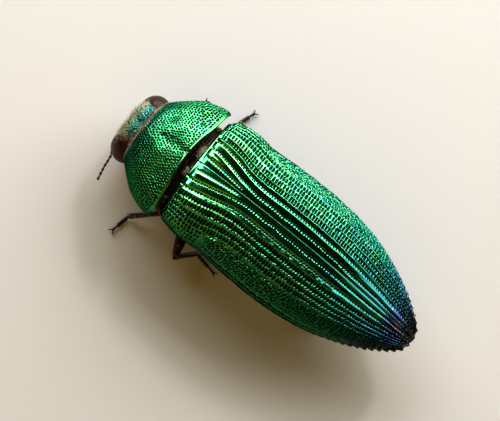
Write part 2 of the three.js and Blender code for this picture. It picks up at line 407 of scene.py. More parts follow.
@dataclass(frozen=True)
class Layer:
    """A colour that lies over what is below it and shows in places."""

    factor: Socket  # output of the node that says where it shows
    low: float  # value of the factor at which it starts to show
    high: float  # value at which it shows most; it may be less than low
    most: float  # its share there, from 0 to 1
    colour: str  # the colour, in sRGB hex


class Finish:
    """What a piece is made of: builds its material once and then hands the same one out."""

    name: str
    slot: Slot

    def material(self) -> bpy.types.Material:
        """Builds the material, or finds the one that was built before.

        Returns:
            The finished material.
        """
        made = bpy.data.materials.get(self.name)
        if made is None:
            made = bpy.data.materials.new(self.name)
            made.use_nodes = True
            made.node_tree.nodes.clear()
            surface = add_node(made.node_tree, "BsdfPrincipled", self.sockets(made.node_tree))
            add_node(made.node_tree, "OutputMaterial", {"Surface": surface.outputs[0]})
        return made

    def sockets(self, tree: Tree) -> dict[str, Any]:
        """Builds the finish's nodes and returns the inputs of its surface shader."""
        raise NotImplementedError

    def patterns(self, tree: Tree, *kinds: Pair) -> list[Socket]:
        """Lays patterns of soft patches over the surface.

        Args:
            tree: the tree.
            kinds: for each pattern, the distance between its patches in millimetres, and how ragged they are.

        Returns:
            The patterns, as values from 0 to 1.
        """
        place = add_node(tree, "TexCoord").outputs["Object"]
        lumps = ({"Vector": place, "Scale": 1 / (size * MM), "Detail": detail} for size, detail in kinds)
        return [add_node(tree, "TexNoise", sockets).outputs["Fac"] for sockets in lumps]

    def layered(self, tree: Tree, ground: Socket | Colour, layers: Sequence[Layer]) -> Socket:
        """Lays colours over a ground, one after the other.

        Args:
            tree: the tree.
            ground: the lowest colour.
            layers: the colours over it, from the lowest to the topmost.

        Returns:
            The colour that shows.
        """
        for layer in layers:
            span = {"Value": layer.factor, "From Min": layer.low, "From Max": layer.high}
            share = add_node(tree, "MapRange", span | {"To Max": layer.most}).outputs["Result"]
            colours = {0: share, 6: ground, 7: linear(layer.colour)}
            ground = add_node(tree, "Mix", colours, data_type="RGBA").outputs[2]
        return ground


@dataclass(frozen=True)
class JewelCuticle(Finish):
    """Beetle cuticle whose thin layers reflect one colour like a metal.

    It was secreted in layers over an embossed skin. The layers give it a saturated mirror colour that
    shifts from place to place, and the honeycomb of the skin cells leaves a fine satin grain on it.
    """

    name: str
    slot: Slot
    along: tuple[tuple[float, str], ...]  # colours from the front of the piece to its back, by position
    pit: str  # colour on the walls of the punctures
    ridge_highlight: str  # colour of the painted highlight on ridges, swellings and beads
    edge: str  # colour of the olive painted shade and reflection by the side margins
    pore_shade: str = "#02200c"  # colour of the punctures' dark pores, and of the painted shade over their walls and the inner rims
    thin_film: str = "#2a7890"  # bluer colour of the patches with thinner layers
    thick_film: str = "#64963c"  # yellower colour of the patches with thicker layers
    glancing: str = "#58a898"  # colour of what it reflects at a low angle
    roughness: float = 0.15  # gloss of the smooth cuticle
    metallic: float = 1.0  # how much of its light the layers reflect
    drift_size: float = 0.9  # size of the waves in which the colours along the piece stray, in millimetres
    film_size: float = 0.35  # size of the patches of film
    gloss_size: float = 0.25  # size of the patches of dull and bright gloss
    grain_size: float = 0.03  # size of the satin grain

    def ground(self, tree: Tree, along: Socket, drift: Socket) -> Socket:
        """Runs the colours from the front of the piece to its back, in loose waves.

        Args:
            tree: the tree.
            along: how far along the piece each point lies.
            drift: the pattern of the waves.

        Returns:
            The colour.
        """
        wave = {"Value": drift, "From Min": 0.3, "From Max": 0.7, "To Min": -0.05, "To Max": 0.05}
        stray = add_node(tree, "MapRange", wave).outputs["Result"]
        strayed = add_node(tree, "Math", {0: stray, 1: along}, operation="ADD").outputs[0]
        node = add_node(tree, "ValToRGB", {"Fac": strayed})
        stops = node.color_ramp.elements
        while len(stops) < len(self.along):
            stops.new(0.5)
        for stop, (position, colour) in zip(stops, self.along):
            stop.position, stop.color = position, linear(colour)
        return node.outputs["Color"]

    def sockets(self, tree: Tree) -> dict[str, Any]:
        """Builds the finish's nodes.

        Args:
            tree: the material's tree.

        Returns:
            The inputs of its surface shader.
        """
        along, across, pit, pore_shade, ridge_highlight = (
            add_node(tree, "Attribute", attribute_name=mark).outputs["Fac"]
            for mark in ("along", "across", "pit", "pore_shade", "ridge_highlight")
        )
        drift, film, patches, grain = self.patterns(
            tree, (self.drift_size, 3), (self.film_size, 3), (self.gloss_size, 3), (self.grain_size, 2)
        )
        # The last three layers are painted light: highlight on ridges and swellings, olive shade and
        # reflection by the side margins, and shade in the punctures.
        layers = (
            Layer(film, 0.42, 0.28, 0.45, self.thick_film),
            Layer(film, 0.56, 0.7, 0.42, self.thin_film),
            Layer(pit, 0.2, 1.0, 0.7, self.pit),
            Layer(ridge_highlight, 0.0, 1.0, 1.0, self.ridge_highlight),
            Layer(across, 0.8, 1.0, 0.5, self.edge),
            Layer(pore_shade, 0.5, 0.9, 1.0, self.pore_shade),
        )
        # Skin cells are about 0.01 mm across; the grain is drawn at 0.03 mm, so that it shows as satin.
        satin = add_node(tree, "Bump", {"Strength": 0.25, "Distance": 0.004 * MM, "Height": grain})
        dull, bright = self.roughness + 0.05, self.roughness - 0.03
        gloss = {"Value": patches, "From Min": 0.3, "From Max": 0.7, "To Min": bright, "To Max": dull}
        return {
            "Base Color": self.layered(tree, self.ground(tree, along, drift), layers),
            "Metallic": self.metallic,
            "Roughness": add_node(tree, "MapRange", gloss).outputs["Result"],
            "Normal": satin.outputs["Normal"],
            "Specular Tint": linear(self.glancing),
            "Coat Weight": 0.06,
            "Coat Roughness": 0.13,
        }


@dataclass(frozen=True)
class EyeLens(Finish):
    """Compound eye: thousands of clear, domed chitin lenses over brown pigment.

    The surface was cast smooth by the skin cells, so it has a polish like varnished chestnut, broken only by
    the domes.
    """

    name: str = "faceted_brown_eye"
    slot: Slot = Slot.EYE
    deep: str = "#1c0e05"  # colour of the darkest pigment
    warm: str = "#56280e"  # colour of the lighter clouds in it
    rim: str = "#6a4a18"  # colour of the pale lower edge, by the mark "thin"
    lens_size: float = 0.035  # width of a lens, in millimetres
    cloud_size: float = 0.5  # size of the clouds

    def sockets(self, tree: Tree) -> dict[str, Any]:
        """Builds the finish's nodes.

        Args:
            tree: the material's tree.

        Returns:
            The inputs of its surface shader.
        """
        # Lenses are about 0.02 mm across; they are drawn at 0.035 mm, the finest that still shows.
        place = add_node(tree, "TexCoord").outputs["Object"]
        cells = add_node(tree, "TexVoronoi", {"Vector": place, "Scale": 1 / (self.lens_size * MM)})
        swell = {"Value": cells.outputs["Distance"], "From Max": 0.6, "To Min": 1.0, "To Max": 0.0}
        dome = add_node(tree, "MapRange", swell).outputs["Result"]
        bump = add_node(tree, "Bump", {"Strength": 0.6, "Distance": 0.01 * MM, "Height": dome})
        (cloud,) = self.patterns(tree, (self.cloud_size, 3))
        lower = add_node(tree, "Attribute", attribute_name="thin").outputs["Fac"]
        layers = (
            Layer(cloud, 0.35, 0.68, 1.0, self.warm),
            Layer(dome, 0.5, 0.0, 0.5, self.deep),
            Layer(lower, 0.0, 1.0, 1.0, self.rim),
        )
        return {
            "Base Color": self.layered(tree, linear(self.deep), layers),
            "Roughness": 0.34,
            "IOR": 1.45,
            "Specular IOR Level": 0.3,
            "Normal": bump.outputs["Normal"],
        }


@dataclass(frozen=True)
class TannedCuticle(Finish):
    """Plain hardened cuticle, tanned dark: legs, feelers and jaws.

    It dried from a wet, stretched skin and is polished by use, so it shines like horn over a fine grain.
    Where the layers are thin it lets some warm brown through.
    """

    name: str
    slot: Slot
    dark: str  # colour of the thick parts
    warm: str  # colour of the thin parts, by the mark "thin"
    metallic: float = 0.35  # strength of the faint metallic layer
    roughness: float = 0.3  # gloss
    grain_size: float = 0.05  # size of the skin's grain, in millimetres
    cloud_size: float = 0.3  # size of the warm clouds
    gloss_size: float = 0.15  # size of the patches of dull and bright gloss

    def sockets(self, tree: Tree) -> dict[str, Any]:
        """Builds the finish's nodes.

        Args:
            tree: the material's tree.

        Returns:
            The inputs of its surface shader.
        """
        thin = add_node(tree, "Attribute", attribute_name="thin").outputs["Fac"]
        clouds, patches, grain = self.patterns(
            tree, (self.cloud_size, 3), (self.gloss_size, 3), (self.grain_size, 2)
        )
        faint = {"Value": clouds, "From Min": 0.35, "From Max": 0.7, "To Max": 0.35}
        cloud = add_node(tree, "MapRange", faint).outputs["Result"]
        warmth = add_node(tree, "Math", {0: thin, 1: cloud}, operation="ADD", use_clamp=True)
        layers = (Layer(warmth.outputs[0], 0.0, 1.0, 1.0, self.warm),)
        bump = add_node(tree, "Bump", {"Strength": 0.4, "Distance": 0.008 * MM, "Height": grain})
        dull, bright = self.roughness + 0.1, self.roughness - 0.06
        gloss = {"Value": patches, "From Min": 0.3, "From Max": 0.7, "To Min": bright, "To Max": dull}
        return {
            "Base Color": self.layered(tree, linear(self.dark), layers),
            "Metallic": self.metallic,
            "Roughness": add_node(tree, "MapRange", gloss).outputs["Result"],
            "IOR": 1.56,
            "Normal": bump.outputs["Normal"],
        }


@dataclass(frozen=True)
class NeckSkin(Finish):
    """The soft folded skin between the prothorax and the wing cases: leathery, dull and dark brown."""

    name: str = "folded_neck_skin"
    slot: Slot = Slot.NECK_SKIN
    dark: str = "#0e0805"  # colour of the skin
    light: str = "#442a14"  # colour of its paler patches
    patch_size: float = 0.35  # size of the patches, in millimetres
    crease_size: float = 0.06  # distance between the skin's creases

    def sockets(self, tree: Tree) -> dict[str, Any]:
        """Builds the finish's nodes.

        Args:
            tree: the material's tree.

        Returns:
            The inputs of its surface shader.
        """
        # The skin's own creases are about 0.01 mm apart; they are drawn at 0.06 mm.
        patches, crease = self.patterns(tree, (self.patch_size, 3), (self.crease_size, 4))
        layers = (Layer(patches, 0.35, 0.7, 1.0, self.light),)
        bump = add_node(tree, "Bump", {"Strength": 0.6, "Distance": 0.02 * MM, "Height": crease})
        return {
            "Base Color": self.layered(tree, linear(self.dark), layers),
            "Roughness": 0.55,
            "IOR": 1.5,
            "Normal": bump.outputs["Normal"],
        }


@dataclass(frozen=True)
class Seta(Finish):
    """Hair-like bristles: solid tapering rods of clear or brown chitin, ribbed lengthwise and silky."""

    name: str
    slot: Slot
    cool: str  # colour of the clear bristles
    warm: str  # colour of the tanned ones, by the mark "tint"

    def sockets(self, tree: Tree) -> dict[str, Any]:
        """Builds the finish's nodes.

        Args:
            tree: the material's tree.

        Returns:
            The inputs of its surface shader.
        """
        tint = add_node(tree, "Attribute", attribute_name="tint").outputs["Fac"]
        colour = self.layered(tree, linear(self.cool), (Layer(tint, 0.0, 1.0, 1.0, self.warm),))
        return {"Base Color": colour, "Roughness": 0.32, "IOR": 1.55, "Sheen Weight": 0.2}


WING_GREEN = JewelCuticle(
    name="embossed_green_cuticle",
    slot=Slot.WING_CASE,
    along=(
        (0.0, "#54a070"),
        (0.18, "#4c9068"),
        (0.5, "#448468"),
        (0.72, "#2e685e"),
        (0.84, "#2e5c62"),
        (0.91, "#343f62"),
        (0.96, "#4a4050"),
        (1.0, "#6e5e50"),
    ),
    pit="#147a5c",
    ridge_highlight="#84c870",
    edge="#5a6038",
)
PRONOTUM_GREEN = JewelCuticle(
    name="punctured_green_cuticle",
    slot=Slot.PRONOTUM,
    along=((0.0, "#20524a"), (0.45, "#3e8c5c"), (1.0, "#4c9464")),
    pit="#187454",
    ridge_highlight="#94c870",
    edge="#3f7040",
    thin_film="#2a7c78",
)
HEAD_GREEN = JewelCuticle(
    name="punctured_head_cuticle",
    slot=Slot.HEAD_SHELL,
    along=((0.0, "#24608c"), (0.22, "#2a7e84"), (0.4, "#27684c"), (0.65, "#26543a"), (1.0, "#24382a")),
    pit="#164e44",
    ridge_highlight="#58a088",
    edge="#25544c",
)
BRONZE = JewelCuticle(
    name="bronze_green_underside",
    slot=Slot.UNDERSIDE,
    along=((0.0, "#4d5a30"), (0.5, "#4a5a34"), (1.0, "#40603c")),
    pit="#2c4a2c",
    ridge_highlight="#7a7a48",
    edge="#4f4428",
    thin_film="#3a5c44",
    thick_film="#5e5a2e",
    roughness=0.28,
    metallic=0.9,
)
LEG_BROWN = TannedCuticle("tanned_leg_cuticle", Slot.LEG, "#1d120a", "#4f2f18")
FEELER_BROWN = TannedCuticle("tanned_feeler_cuticle", Slot.ANTENNA, "#130d09", "#3a2415", 0.2, 0.38)
JAW_BLACK = TannedCuticle("hard_black_jaw", Slot.JAW, "#0b0806", "#2a140a", 0.0, 0.22)
SILVER_HAIR = Seta("silver_and_gold_bristle", Slot.PALE_HAIR, "#beb8a0", "#7c5020")
BROWN_HAIR = Seta("brown_bristle", Slot.BROWN_HAIR, "#d8b088", "#5a3a1c")


# -------- wing cases


@dataclass
class Spots:
    """Where each point of a wing case lies on it, as one array for each measure."""

    station: Array  # distance behind the front edge
    arc: Array  # distance from the suture, round the shell
    share: Array  # the same distance, as a share of the whole way to the side edge
    places: Array  # where the rows of punctures lie at each station, in mm from the suture
    row: Array  # the distance from the suture, counted in rows
    nearest: Array  # number of the nearest row, from 1
    off: Array  # distance past the nearest row
    gap: Array  # distance between the rows there
    net: Array  # 0 on the smooth back, 1 on the netted flank
    loose: Array  # 1 where the rows of the flank break up into loose punctures
    front: Array  # 1 by the front edge, fading to 0
    behind: Array  # 0 by the front edge, rising to 1 behind the short first row
    rear: Array  # 0 on the front half, rising to 1 towards the tip


@dataclass
class WingCases:
    """The pair of wing cases: ribbed shells that close along the suture, with saw-toothed hind margins."""

    profile: Rows = (  # [station, half-width, height of the ridge, height of the side edge], front to back
        (0.0, 2.04, 3.6, 2.45),
        (0.35, 2.24, 3.71, 2.41),
        (1.0, 2.36, 3.82, 2.36),
        (1.9, 2.3, 3.88, 2.33),
        (3.4, 2.39, 3.93, 2.3),
        (5.0, 2.37, 3.88, 2.27),
        (6.5, 2.16, 3.7, 2.24),
        (7.8, 1.74, 3.43, 2.21),
        (8.8, 1.25, 3.15, 2.18),
        (9.5, 0.79, 2.88, 2.16),
        (9.88, 0.43, 2.62, 2.14),
        (10.0, 0.08, 2.36, 2.13),
    )
    # where the rows of punctures start at the front edge, in mm from the suture
    rows_front: Row = (0.62, 0.97, 1.27, 1.5, 1.7, 1.88, 2.05, 2.2, 2.32, 2.42, 2.5)
    # where they run along the middle of the shell
    rows_middle: Row = (0.21, 0.56, 0.93, 1.17, 1.42, 1.66, 1.9, 2.14, 2.4, 2.66, 2.9)
    # distance between the punctures of each row
    pitches: Row = (0.11, 0.118, 0.117, 0.12, 0.125, 0.125, 0.14, 0.14, 0.14, 0.14, 0.148)
    # heights of the steps at the first rows; the last is the strong costa
    steps: Row = (0.03, 0.038, 0.045)
    costa_ahead: float = 0.09  # how far inside its row the costa falls
    fall: float = 0.057  # half-width of a step
    suture_bead: float = 0.06  # where the first interval starts to rise, in mm from the suture
    # depth of a puncture, and how much deeper it is on the flank
    punch_depth: Pair = (0.03, 0.006)
    loose_pitch: float = 0.108  # distance between the loose punctures of the flank
    loose_depth: float = 0.036  # their depth
    short_depth: float = 0.035  # depth of the punctures of the short row beside the suture
    # [station, how drawn out, mm from the suture, half-width, share of the height] of the swellings behind
    # the shoulder
    calluses: Rows = ((0.6, 0.7, 1.5, 0.19, 1.0), (0.8, 0.6, 2.42, 0.22, 0.7))
    callus_height: float = 0.075  # height of the greatest of them
    front_drop: float = 0.055  # how far the shell slopes down at its front edge
    parting: float = 0.008  # half-width of the seam between the shells
    tooth: float = 0.27  # length of a marginal tooth
    tooth_height: float = 0.08  # height of the hindmost teeth
    # [mm out, mm up] of the rim that turns under the side edge
    lip: Rows = ((0.012, -0.02), (0.012, -0.055), (-0.015, -0.085), (-0.08, -0.1), (-0.32, -0.09))
    # [mm back, mm up] of the rim that turns down at the front
    brow: Rows = ((0.05, -0.4), (-0.035, -0.12), (-0.045, -0.05), (-0.03, -0.015))
    along: int = 760  # rows of points along the shell
    across: int = 232  # columns of points from the suture to the side edge

    def stations(self) -> Array:
        """Spreads rows of the profile evenly along the shell's outline.

        Returns:
            One row of the profile for each row of points.
        """
        t = np.linspace(0, 1, 4000)
        run = length_along(np.linalg.norm(np.diff(smooth(self.profile, t)[:, :3], axis=0), axis=1))
        return smooth(self.profile, np.interp(np.linspace(0, run[-1], self.along), run, t))

    def row_places(self, y: Array, reach: Array) -> Array:
        """Lays out the rows of punctures.

        Args:
            y: the stations.
            reach: distance from the suture to the side edge at each station, round the shell.

        Returns:
            Where each row lies at each station, in mm from the suture.
        """
        middle = np.array(self.rows_middle)[None, :] * (reach / reach.max())[:, None]
        front = np.array(self.rows_front)[None, :]
        share = ease(0.1, 2.6, y)[:, None]
        bulge = hump(y - 1.5, 1.0)[:, None] * ease(3.5, 6.0, np.arange(1, front.size + 1.0))
        stray = 0.016 * ripple(y[:, None], 3.0 * np.arange(front.size)[None, :], 0.4, 11.0)
        return front * (1 - share) + middle * share + 0.22 * bulge + stray

    def locate(self, y: Array, arc: Array) -> Spots:
        """Measures where each point lies among the rows of punctures.

        Args:
            y: the stations.
            arc: distance of each point from the suture, round the shell.

        Returns:
            The measures.
        """
        station = np.broadcast_to(y[:, None], arc.shape)
        places = self.row_places(y, arc[:, -1])
        count = places.shape[1]
        row = np.empty_like(arc)
        for k, known in enumerate(np.pad(places, ((0, 0), (1, 1)))):
            known[-1] = arc[k, -1]
            row[k] = np.interp(arc[k], known, np.arange(count + 2))
        nearest = np.clip(np.round(row), 1, count)
        index = nearest.astype(int)
        spacing = np.gradient(np.pad(places, ((0, 0), (1, 0))), axis=1)
        return Spots(
            station=station,
            arc=arc,
            share=arc / arc[:, -1:],
            places=places,
            row=row,
            nearest=nearest,
            off=arc - np.take_along_axis(places, index - 1, axis=1),
            gap=np.take_along_axis(spacing, index, axis=1),
            net=ease(2.4, 2.6, row),
            loose=ease(6.5, 7.1, row) * fade(10.0, 10.6, row) * ease(1.2, 2.2, station),
            front=fade(0.8, 2.0, station),
            behind=ease(1.4, 2.4, station),
            rear=ease(5.0, 8.0, station),
        )

    def terraces(self, spots: Spots) -> Array:
        """Raises the intervals next to the suture, which climb gently outwards and fall off at the next row.

        Args:
            spots: where the shell's points lie.

        Returns:
            The height at each point.
        """
        height = np.zeros_like(spots.arc)
        start = np.full((len(spots.places), 1), self.suture_bead)
        for k, step in enumerate(self.steps):
            step = step * (1 - 0.75 * spots.behind) if k == 0 else step
            ahead = self.costa_ahead if k == len(self.steps) - 1 else 0.0
            row = spots.places[:, k : k + 1] - ahead
            up = np.clip((spots.arc - start) / (row - self.fall - start), 0, 1)
            height += step * np.minimum(up, fade(0, 1, (spots.arc - row + self.fall) / (2 * self.fall)))
            start = row + self.fall
        return height * (1 + 0.15 * spots.front) * ease(0.0, 0.16, spots.station) * (1 - 0.6 * spots.rear)

    def punctures(self, spots: Spots, callus: Array) -> tuple[Array, Array, Array]:
        """Punches the rows of the back, the net of the flank and its loose punctures.

        Args:
            spots: where the shell's points lie.
            callus: the swellings behind the shoulder, where the punctures are shallower.

        Returns:
            How deep each point is in a puncture of a row, in a loose one, and in the painted shade of either.
        """
        nearest, net = spots.nearest, spots.net
        pitch = np.array(self.pitches)[nearest.astype(int) - 1]
        step = spots.station / pitch + scatter(nearest, nearest, 3.0)
        cell = np.floor(step)
        off_along = (step - cell - 0.5 - 0.3 * (scatter(cell, nearest, 5.0) - 0.5)) * pitch
        off = spots.off - 0.035 * (1 - net)
        wide = np.maximum(0.055 * (1 - net) + (0.48 - 0.15 * spots.rear) * spots.gap * net, 0.022)
        wide = wide * (0.75 + 0.45 * scatter(nearest, cell, 8.0))
        long = pitch * (0.43 - 0.18 * (1 - net)) * (0.8 + 0.3 * scatter(cell, nearest, 21.0))
        box = (np.abs(off / wide) ** 3 + np.abs(off_along / long) ** 3) ** (1 / 3)
        # Painted shade: the dark of a puncture is set off towards its wall away from the suture, the wall
        # that the key light would catch on the beetle's left.
        shaded = (np.abs((off - 0.15 * wide) / wide) ** 3 + np.abs(off_along / long) ** 3) ** (1 / 3)
        punch = fade(0.55, 1.15, box) * (1 - spots.loose) * ease(0.05, 0.12, spots.station)
        punch *= 1 - 0.6 * (nearest < 1.5) * spots.behind
        punch *= 1 - 0.3 * callus
        away = nearest_pit(spots.station + 0.5 * spots.arc, 0.75 * spots.arc, self.loose_pitch, 0.5, 2.0)
        loose = fade(0.26, 0.6, away) * spots.loose
        net_shade = np.maximum(fade(0.55, 1.15, shaded) * net * ease(0.1, 0.7, punch), 0.9 * loose)
        return punch, loose, np.maximum(net_shade, 0.8 * (1 - net) * punch * ease(0.5, 0.9, punch))

    def short_row(self, spots: Spots) -> tuple[Array, Array]:
        """Makes the short row of punctures beside the suture, and the swelling along it.

        Args:
            spots: where the shell's points lie.

        Returns:
            How deep each point is in one of its punctures, and how high on the swelling.
        """
        pitch = self.pitches[0]
        off = spots.arc - 0.3 + 0.1 * spots.station
        cell = spots.station / pitch - np.floor(spots.station / pitch) - 0.5
        reach = ease(0.08, 0.2, spots.station) * fade(1.6, 2.1, spots.station)
        swell = hump(off - 0.12, 0.06) + 0.2 * hump(off + 0.1, 0.04)
        swell = swell * ease(0.1, 0.3, spots.station) * fade(0.5, 1.5, spots.station)
        return hump(off, 0.045) * hump(cell * pitch, 0.036) * reach, swell

    def relief(self, spots: Spots) -> tuple[Array, Marks]:
        """Works out the ribs, steps, punctures and swellings of the shell.

        Args:
            spots: where the shell's points lie.

        Returns:
            The height at each point, and the marks for the finish.
        """
        station, arc, row = spots.station, spots.arc, spots.row
        net, loose, front, rear = spots.net, spots.loose, spots.front, spots.rear
        callus = sum(
            share * hump(np.hypot((station - at) * drawn, arc - aside), width)
            for at, drawn, aside, width, share in self.calluses
        )
        punch, loose_pit, pore_shade = self.punctures(spots, callus)
        short_pit, swell = self.short_row(spots)
        crest = hump(row - np.floor(row) - 0.5, 0.2)
        shoulder = hump(row - 3.5, 0.16) * ease(0.3, 0.6, station) * fade(2.0, 3.6, station)
        humeral = hump((row - 7.0) * spots.gap, 0.05) * ease(1.2, 1.6, station) * fade(2.6, 3.4, station)
        bead = hump(arc - 0.035, 0.03)
        painted_crest_highlight = hump(spots.off + 0.02, 0.07) * (1 - net) * front

        height = self.terraces(spots) - 0.008 * hump(spots.off - 0.03, 0.03) * (1 - net) * front
        height -= (self.punch_depth[0] + self.punch_depth[1] * net) * punch
        height -= self.short_depth * short_pit + self.loose_depth * loose_pit
        height += (0.022 * rear + 0.004 * net) * crest * (1 - loose) + 0.01 * rear * bead
        height += 0.024 * shoulder + 0.04 * humeral + 0.014 * swell + self.callus_height * callus
        height += 0.004 * ripple(station, arc, 0.7, 6.0) + 0.008 * loose * ripple(station, arc, 0.16, 4.0)
        height += 0.013 * ease(2.9, 3.7, row) * ripple(station, arc, 0.3, 7.0)
        height += 0.009 * net * (1 - loose) * ripple(station, arc, 0.1, 15.0)
        height -= self.front_drop * fade(-0.04, 0.22, station) + 0.006 * fade(0.0, 0.025, arc)

        pit = np.maximum(punch, loose_pit)
        # Painted highlight: the calluses, the swelling by the short row, the shoulder, the humeral ridge and
        # the crests of the front steps are coloured paler where the key light catches them.
        ridge_highlight = 0.25 * callus + 0.7 * swell + 0.5 * humeral + 0.4 * shoulder + 0.6 * painted_crest_highlight
        sooner = 0.08 * ease(5.5, 8.8, station) * ease(0.5, 1.0, spots.share)  # the flank turns violet sooner
        return height, {
            "along": station / self.profile[-1][0] + sooner,
            "across": spots.share,
            "pit": pit,
            "pore_shade": pore_shade,
            "ridge_highlight": np.clip(ridge_highlight, 0, 1) * (1 - pit),
        }

    def shell(self) -> Sheet:
        """Makes the right shell with all its relief.

        Returns:
            The shell, facing out.
        """
        y, width, top, edge = self.stations().T
        form = arch(width, np.maximum(top - edge, 0.02), np.linspace(0, 1, self.across))
        spots = self.locate(y, form[:, :, 2])
        height, marks = self.relief(spots)
        x, z = -form[:, :, 0] - self.parting, edge[:, None] + form[:, :, 1]
        points = np.stack([x, spots.station, z], axis=2)
        sheet = Sheet(points, marks).push(height * ease(0.0, 0.05, width)[:, None])
        outward = unit(np.stack([-np.gradient(y), -np.gradient(width), np.zeros_like(y)], axis=1))
        self.serrate(sheet, y, width, outward)
        return self.rolled(sheet, width, outward)

    def serrate(self, sheet: Sheet, y: Array, width: Array, outward: Array) -> None:
        """Draws the side margin out into teeth that point backwards and grow towards the tip.

        Args:
            sheet: the shell, which is changed.
            y: the stations.
            width: half-width at each station.
            outward: unit vectors out from the outline, seen from above.
        """
        run = length_along(np.hypot(np.diff(y), np.diff(width)))
        phase = (run - run[-1]) / self.tooth
        phase = phase - np.floor(phase)
        saw = ease(0.0, 0.78, phase) * fade(0.82, 1.0, phase)
        height = saw * self.tooth_height * ease(6.4, 9.6, y) * ease(0.0, 0.12, width)
        reach = ease(0.88, 1.0, sheet.marks["across"]) ** 2
        sheet.points += outward[:, None, :] * (height[:, None] * reach)[..., None]

    def rolled(self, sheet: Sheet, width: Array, outward: Array) -> Sheet:
        """Adds the shell's thickness at its front, along the suture and under the side margin.

        Args:
            sheet: the shell.
            width: half-width at each station.
            outward: unit vectors out from the outline, seen from above.

        Returns:
            The shell with its rims.
        """
        inward = np.minimum(1.0, width / 0.4)[:, None]
        rim = sheet.points[:, -1]
        under = [rim + outward * out * inward + (0, 0, up) for out, up in self.lip]
        seam = sheet.points[:, 0]
        wall = [seam * (0, 1, 1) + (-self.parting / 2, 0, up) for up in (-0.3, -0.04)]
        crisp = 0.85 * seam + 0.15 * sheet.points[:, 1]
        top = [sheet.points[:, :1], crisp[:, None], sheet.points[:, 1:]]
        points = np.concatenate([np.stack(wall, 1), *top, np.stack(under, 1)], axis=1)
        front = [points[0] + (0, back, up) for back, up in self.brow]
        points = np.concatenate([np.stack(front), points], axis=0)
        shell = sheet.bordered(points, (len(front), 0), (len(wall) + 1, len(under)))
        # Painted shade: the innermost row of the front rim and the innermost column of the rim under the side
        # edge are coloured as dark as the punctures.
        shell.marks["pore_shade"][0], shell.marks["pore_shade"][:, -1] = 1.0, 1.0
        return shell

    def build(self) -> None:
        """Makes both wing cases."""
        right = self.shell()
        dress(weave("wing_case_right", [right], own_map=True), WING_GREEN, "elytron_right")
        dress(weave("wing_case_left", [right.mirrored()], own_map=True), WING_GREEN, "elytron_left")


# -------- bristles


@dataclass
class Coat:
    """Bristles that grow from a sheet of skin and lie along it."""

    skin: Sheet  # the sheet that they grow from
    count: int  # how many there are at most
    length: float  # their mean length, in millimetres
    width: float  # half their width at the root
    lie: Triple  # the way that the coat is combed
    lift: float = 0.35  # how far they stand off the skin, from 0 to 1
    rows: Pair = (0.0, 1.0)  # the span of the skin's rows that they grow on, as shares
    columns: Pair = (0.0, 1.0)  # the span of its columns
    # how thickly they grow at each point, from its shares along rows and columns
    where: Callable[[Array, Array], Array] | None = None
    tint: float = 0.0  # how tanned they are on the whole
    seed: int = SEED  # the random seed
    unruly: float = 0.22  # how far each strays from the lie of the coat
    sides: int = 3  # how many sides a bristle has

    def roots(self, rng: np.random.Generator) -> tuple[Array, Array]:
        """Draws the places where the bristles grow.

        Args:
            rng: the random numbers.

        Returns:
            Their shares along the skin's rows and columns.
        """
        u, v = rng.random((2, self.count * 6))
        u = self.rows[0] + (self.rows[1] - self.rows[0]) * u
        v = self.columns[0] + (self.columns[1] - self.columns[0]) * v
        if self.where is not None:
            keep = rng.random(u.size) < self.where(u, v)
            u, v = u[keep], v[keep]
        return u[: self.count], v[: self.count]

    def grow(self) -> tuple[Array, Array, Array]:
        """Grows the bristles.

        Returns:
            Points (n, 7, 3), places on the skin's map (n, 2) and tints (n,).
        """
        rng = np.random.default_rng(self.seed)
        u, v = self.roots(rng)
        rows, columns = self.skin.points.shape[:2]
        i = np.clip((u * (rows - 1)).astype(int), 0, rows - 1)
        j = np.clip((v * (columns - 1)).astype(int), 0, columns - 1)
        root, normal = self.skin.points[i, j], self.skin.normals()[i, j]
        comb = np.asarray(self.lie, float) + rng.normal(0, self.unruly, (len(u), 3))
        comb = unit(comb - normal * np.sum(comb * normal, axis=1, keepdims=True))
        lift = (self.lift * (0.7 + 0.6 * rng.random(len(u))))[:, None]
        along = unit(normal * lift + comb * (1 - lift))
        side = unit(np.cross(normal, along))
        length = (self.length * (0.65 + 0.7 * rng.random(len(u))))[:, None]
        middle = root + along * length * 0.55
        tip = root + (along * 0.82 + comb * 0.25 - normal * 0.12 * lift) * length
        points = []
        for centre, wide in ((root - normal * 0.01, self.width), (middle, self.width * 0.7)):
            for k in range(self.sides):
                turn = 2 * math.pi * k / self.sides
                points.append(centre + (side * math.cos(turn) + normal * math.sin(turn)) * wide)
        points.append(tip)
        tint = np.clip(self.tint + rng.normal(0, 0.15, len(u)), 0, 1)
        return np.stack(points, axis=1), np.stack([v, u], axis=1), tint


def plant(name: str, coats: Sequence[Coat], finish: Finish) -> None:
    """Makes one mesh object of bristles, each with its own small patch of the bake map.

    Args:
        name: the piece's name.
        coats: the coats in it, which share the map side by side.
        finish: what the bristles are made of.
    """
    patch = 0.003
    shape = ((0, 1, 4, 3), (1, 2, 5, 4), (2, 0, 3, 5), (3, 4, 6), (4, 5, 6), (5, 3, 6))
    spots = np.array([(0, 0), (0.5, 0), (1, 0), (0, 0.5), (0.5, 0.5), (1, 0.5), (0.5, 1)])
    points, faces, uv, tint = [], [], [], []
    for number, coat in enumerate(coats):
        grown, place, tints = coat.grow()
        place = place * (1 / len(coats), 1.0) * (1 - patch) + (number / len(coats), 0.0)
        for bristle, corner, shade in zip(grown, place, tints):
            start = len(points) * len(spots)
            points.append(bristle)
            tint.append(shade)
            for face in shape:
                faces.append([start + k for k in face])
                uv += [corner + patch * spots[k] for k in face]
    piece = new_piece(name, np.concatenate(points), faces)
    piece.data.uv_layers.new(name=BAKE_MAP).data.foreach_set("uv", np.array(uv, float).ravel())
    set_mark(piece.data, "tint", np.repeat(tint, len(spots)))
    piece.data.polygons.foreach_set("use_smooth", np.ones(len(faces), bool))
    dress(piece, finish)


# -------- prothorax


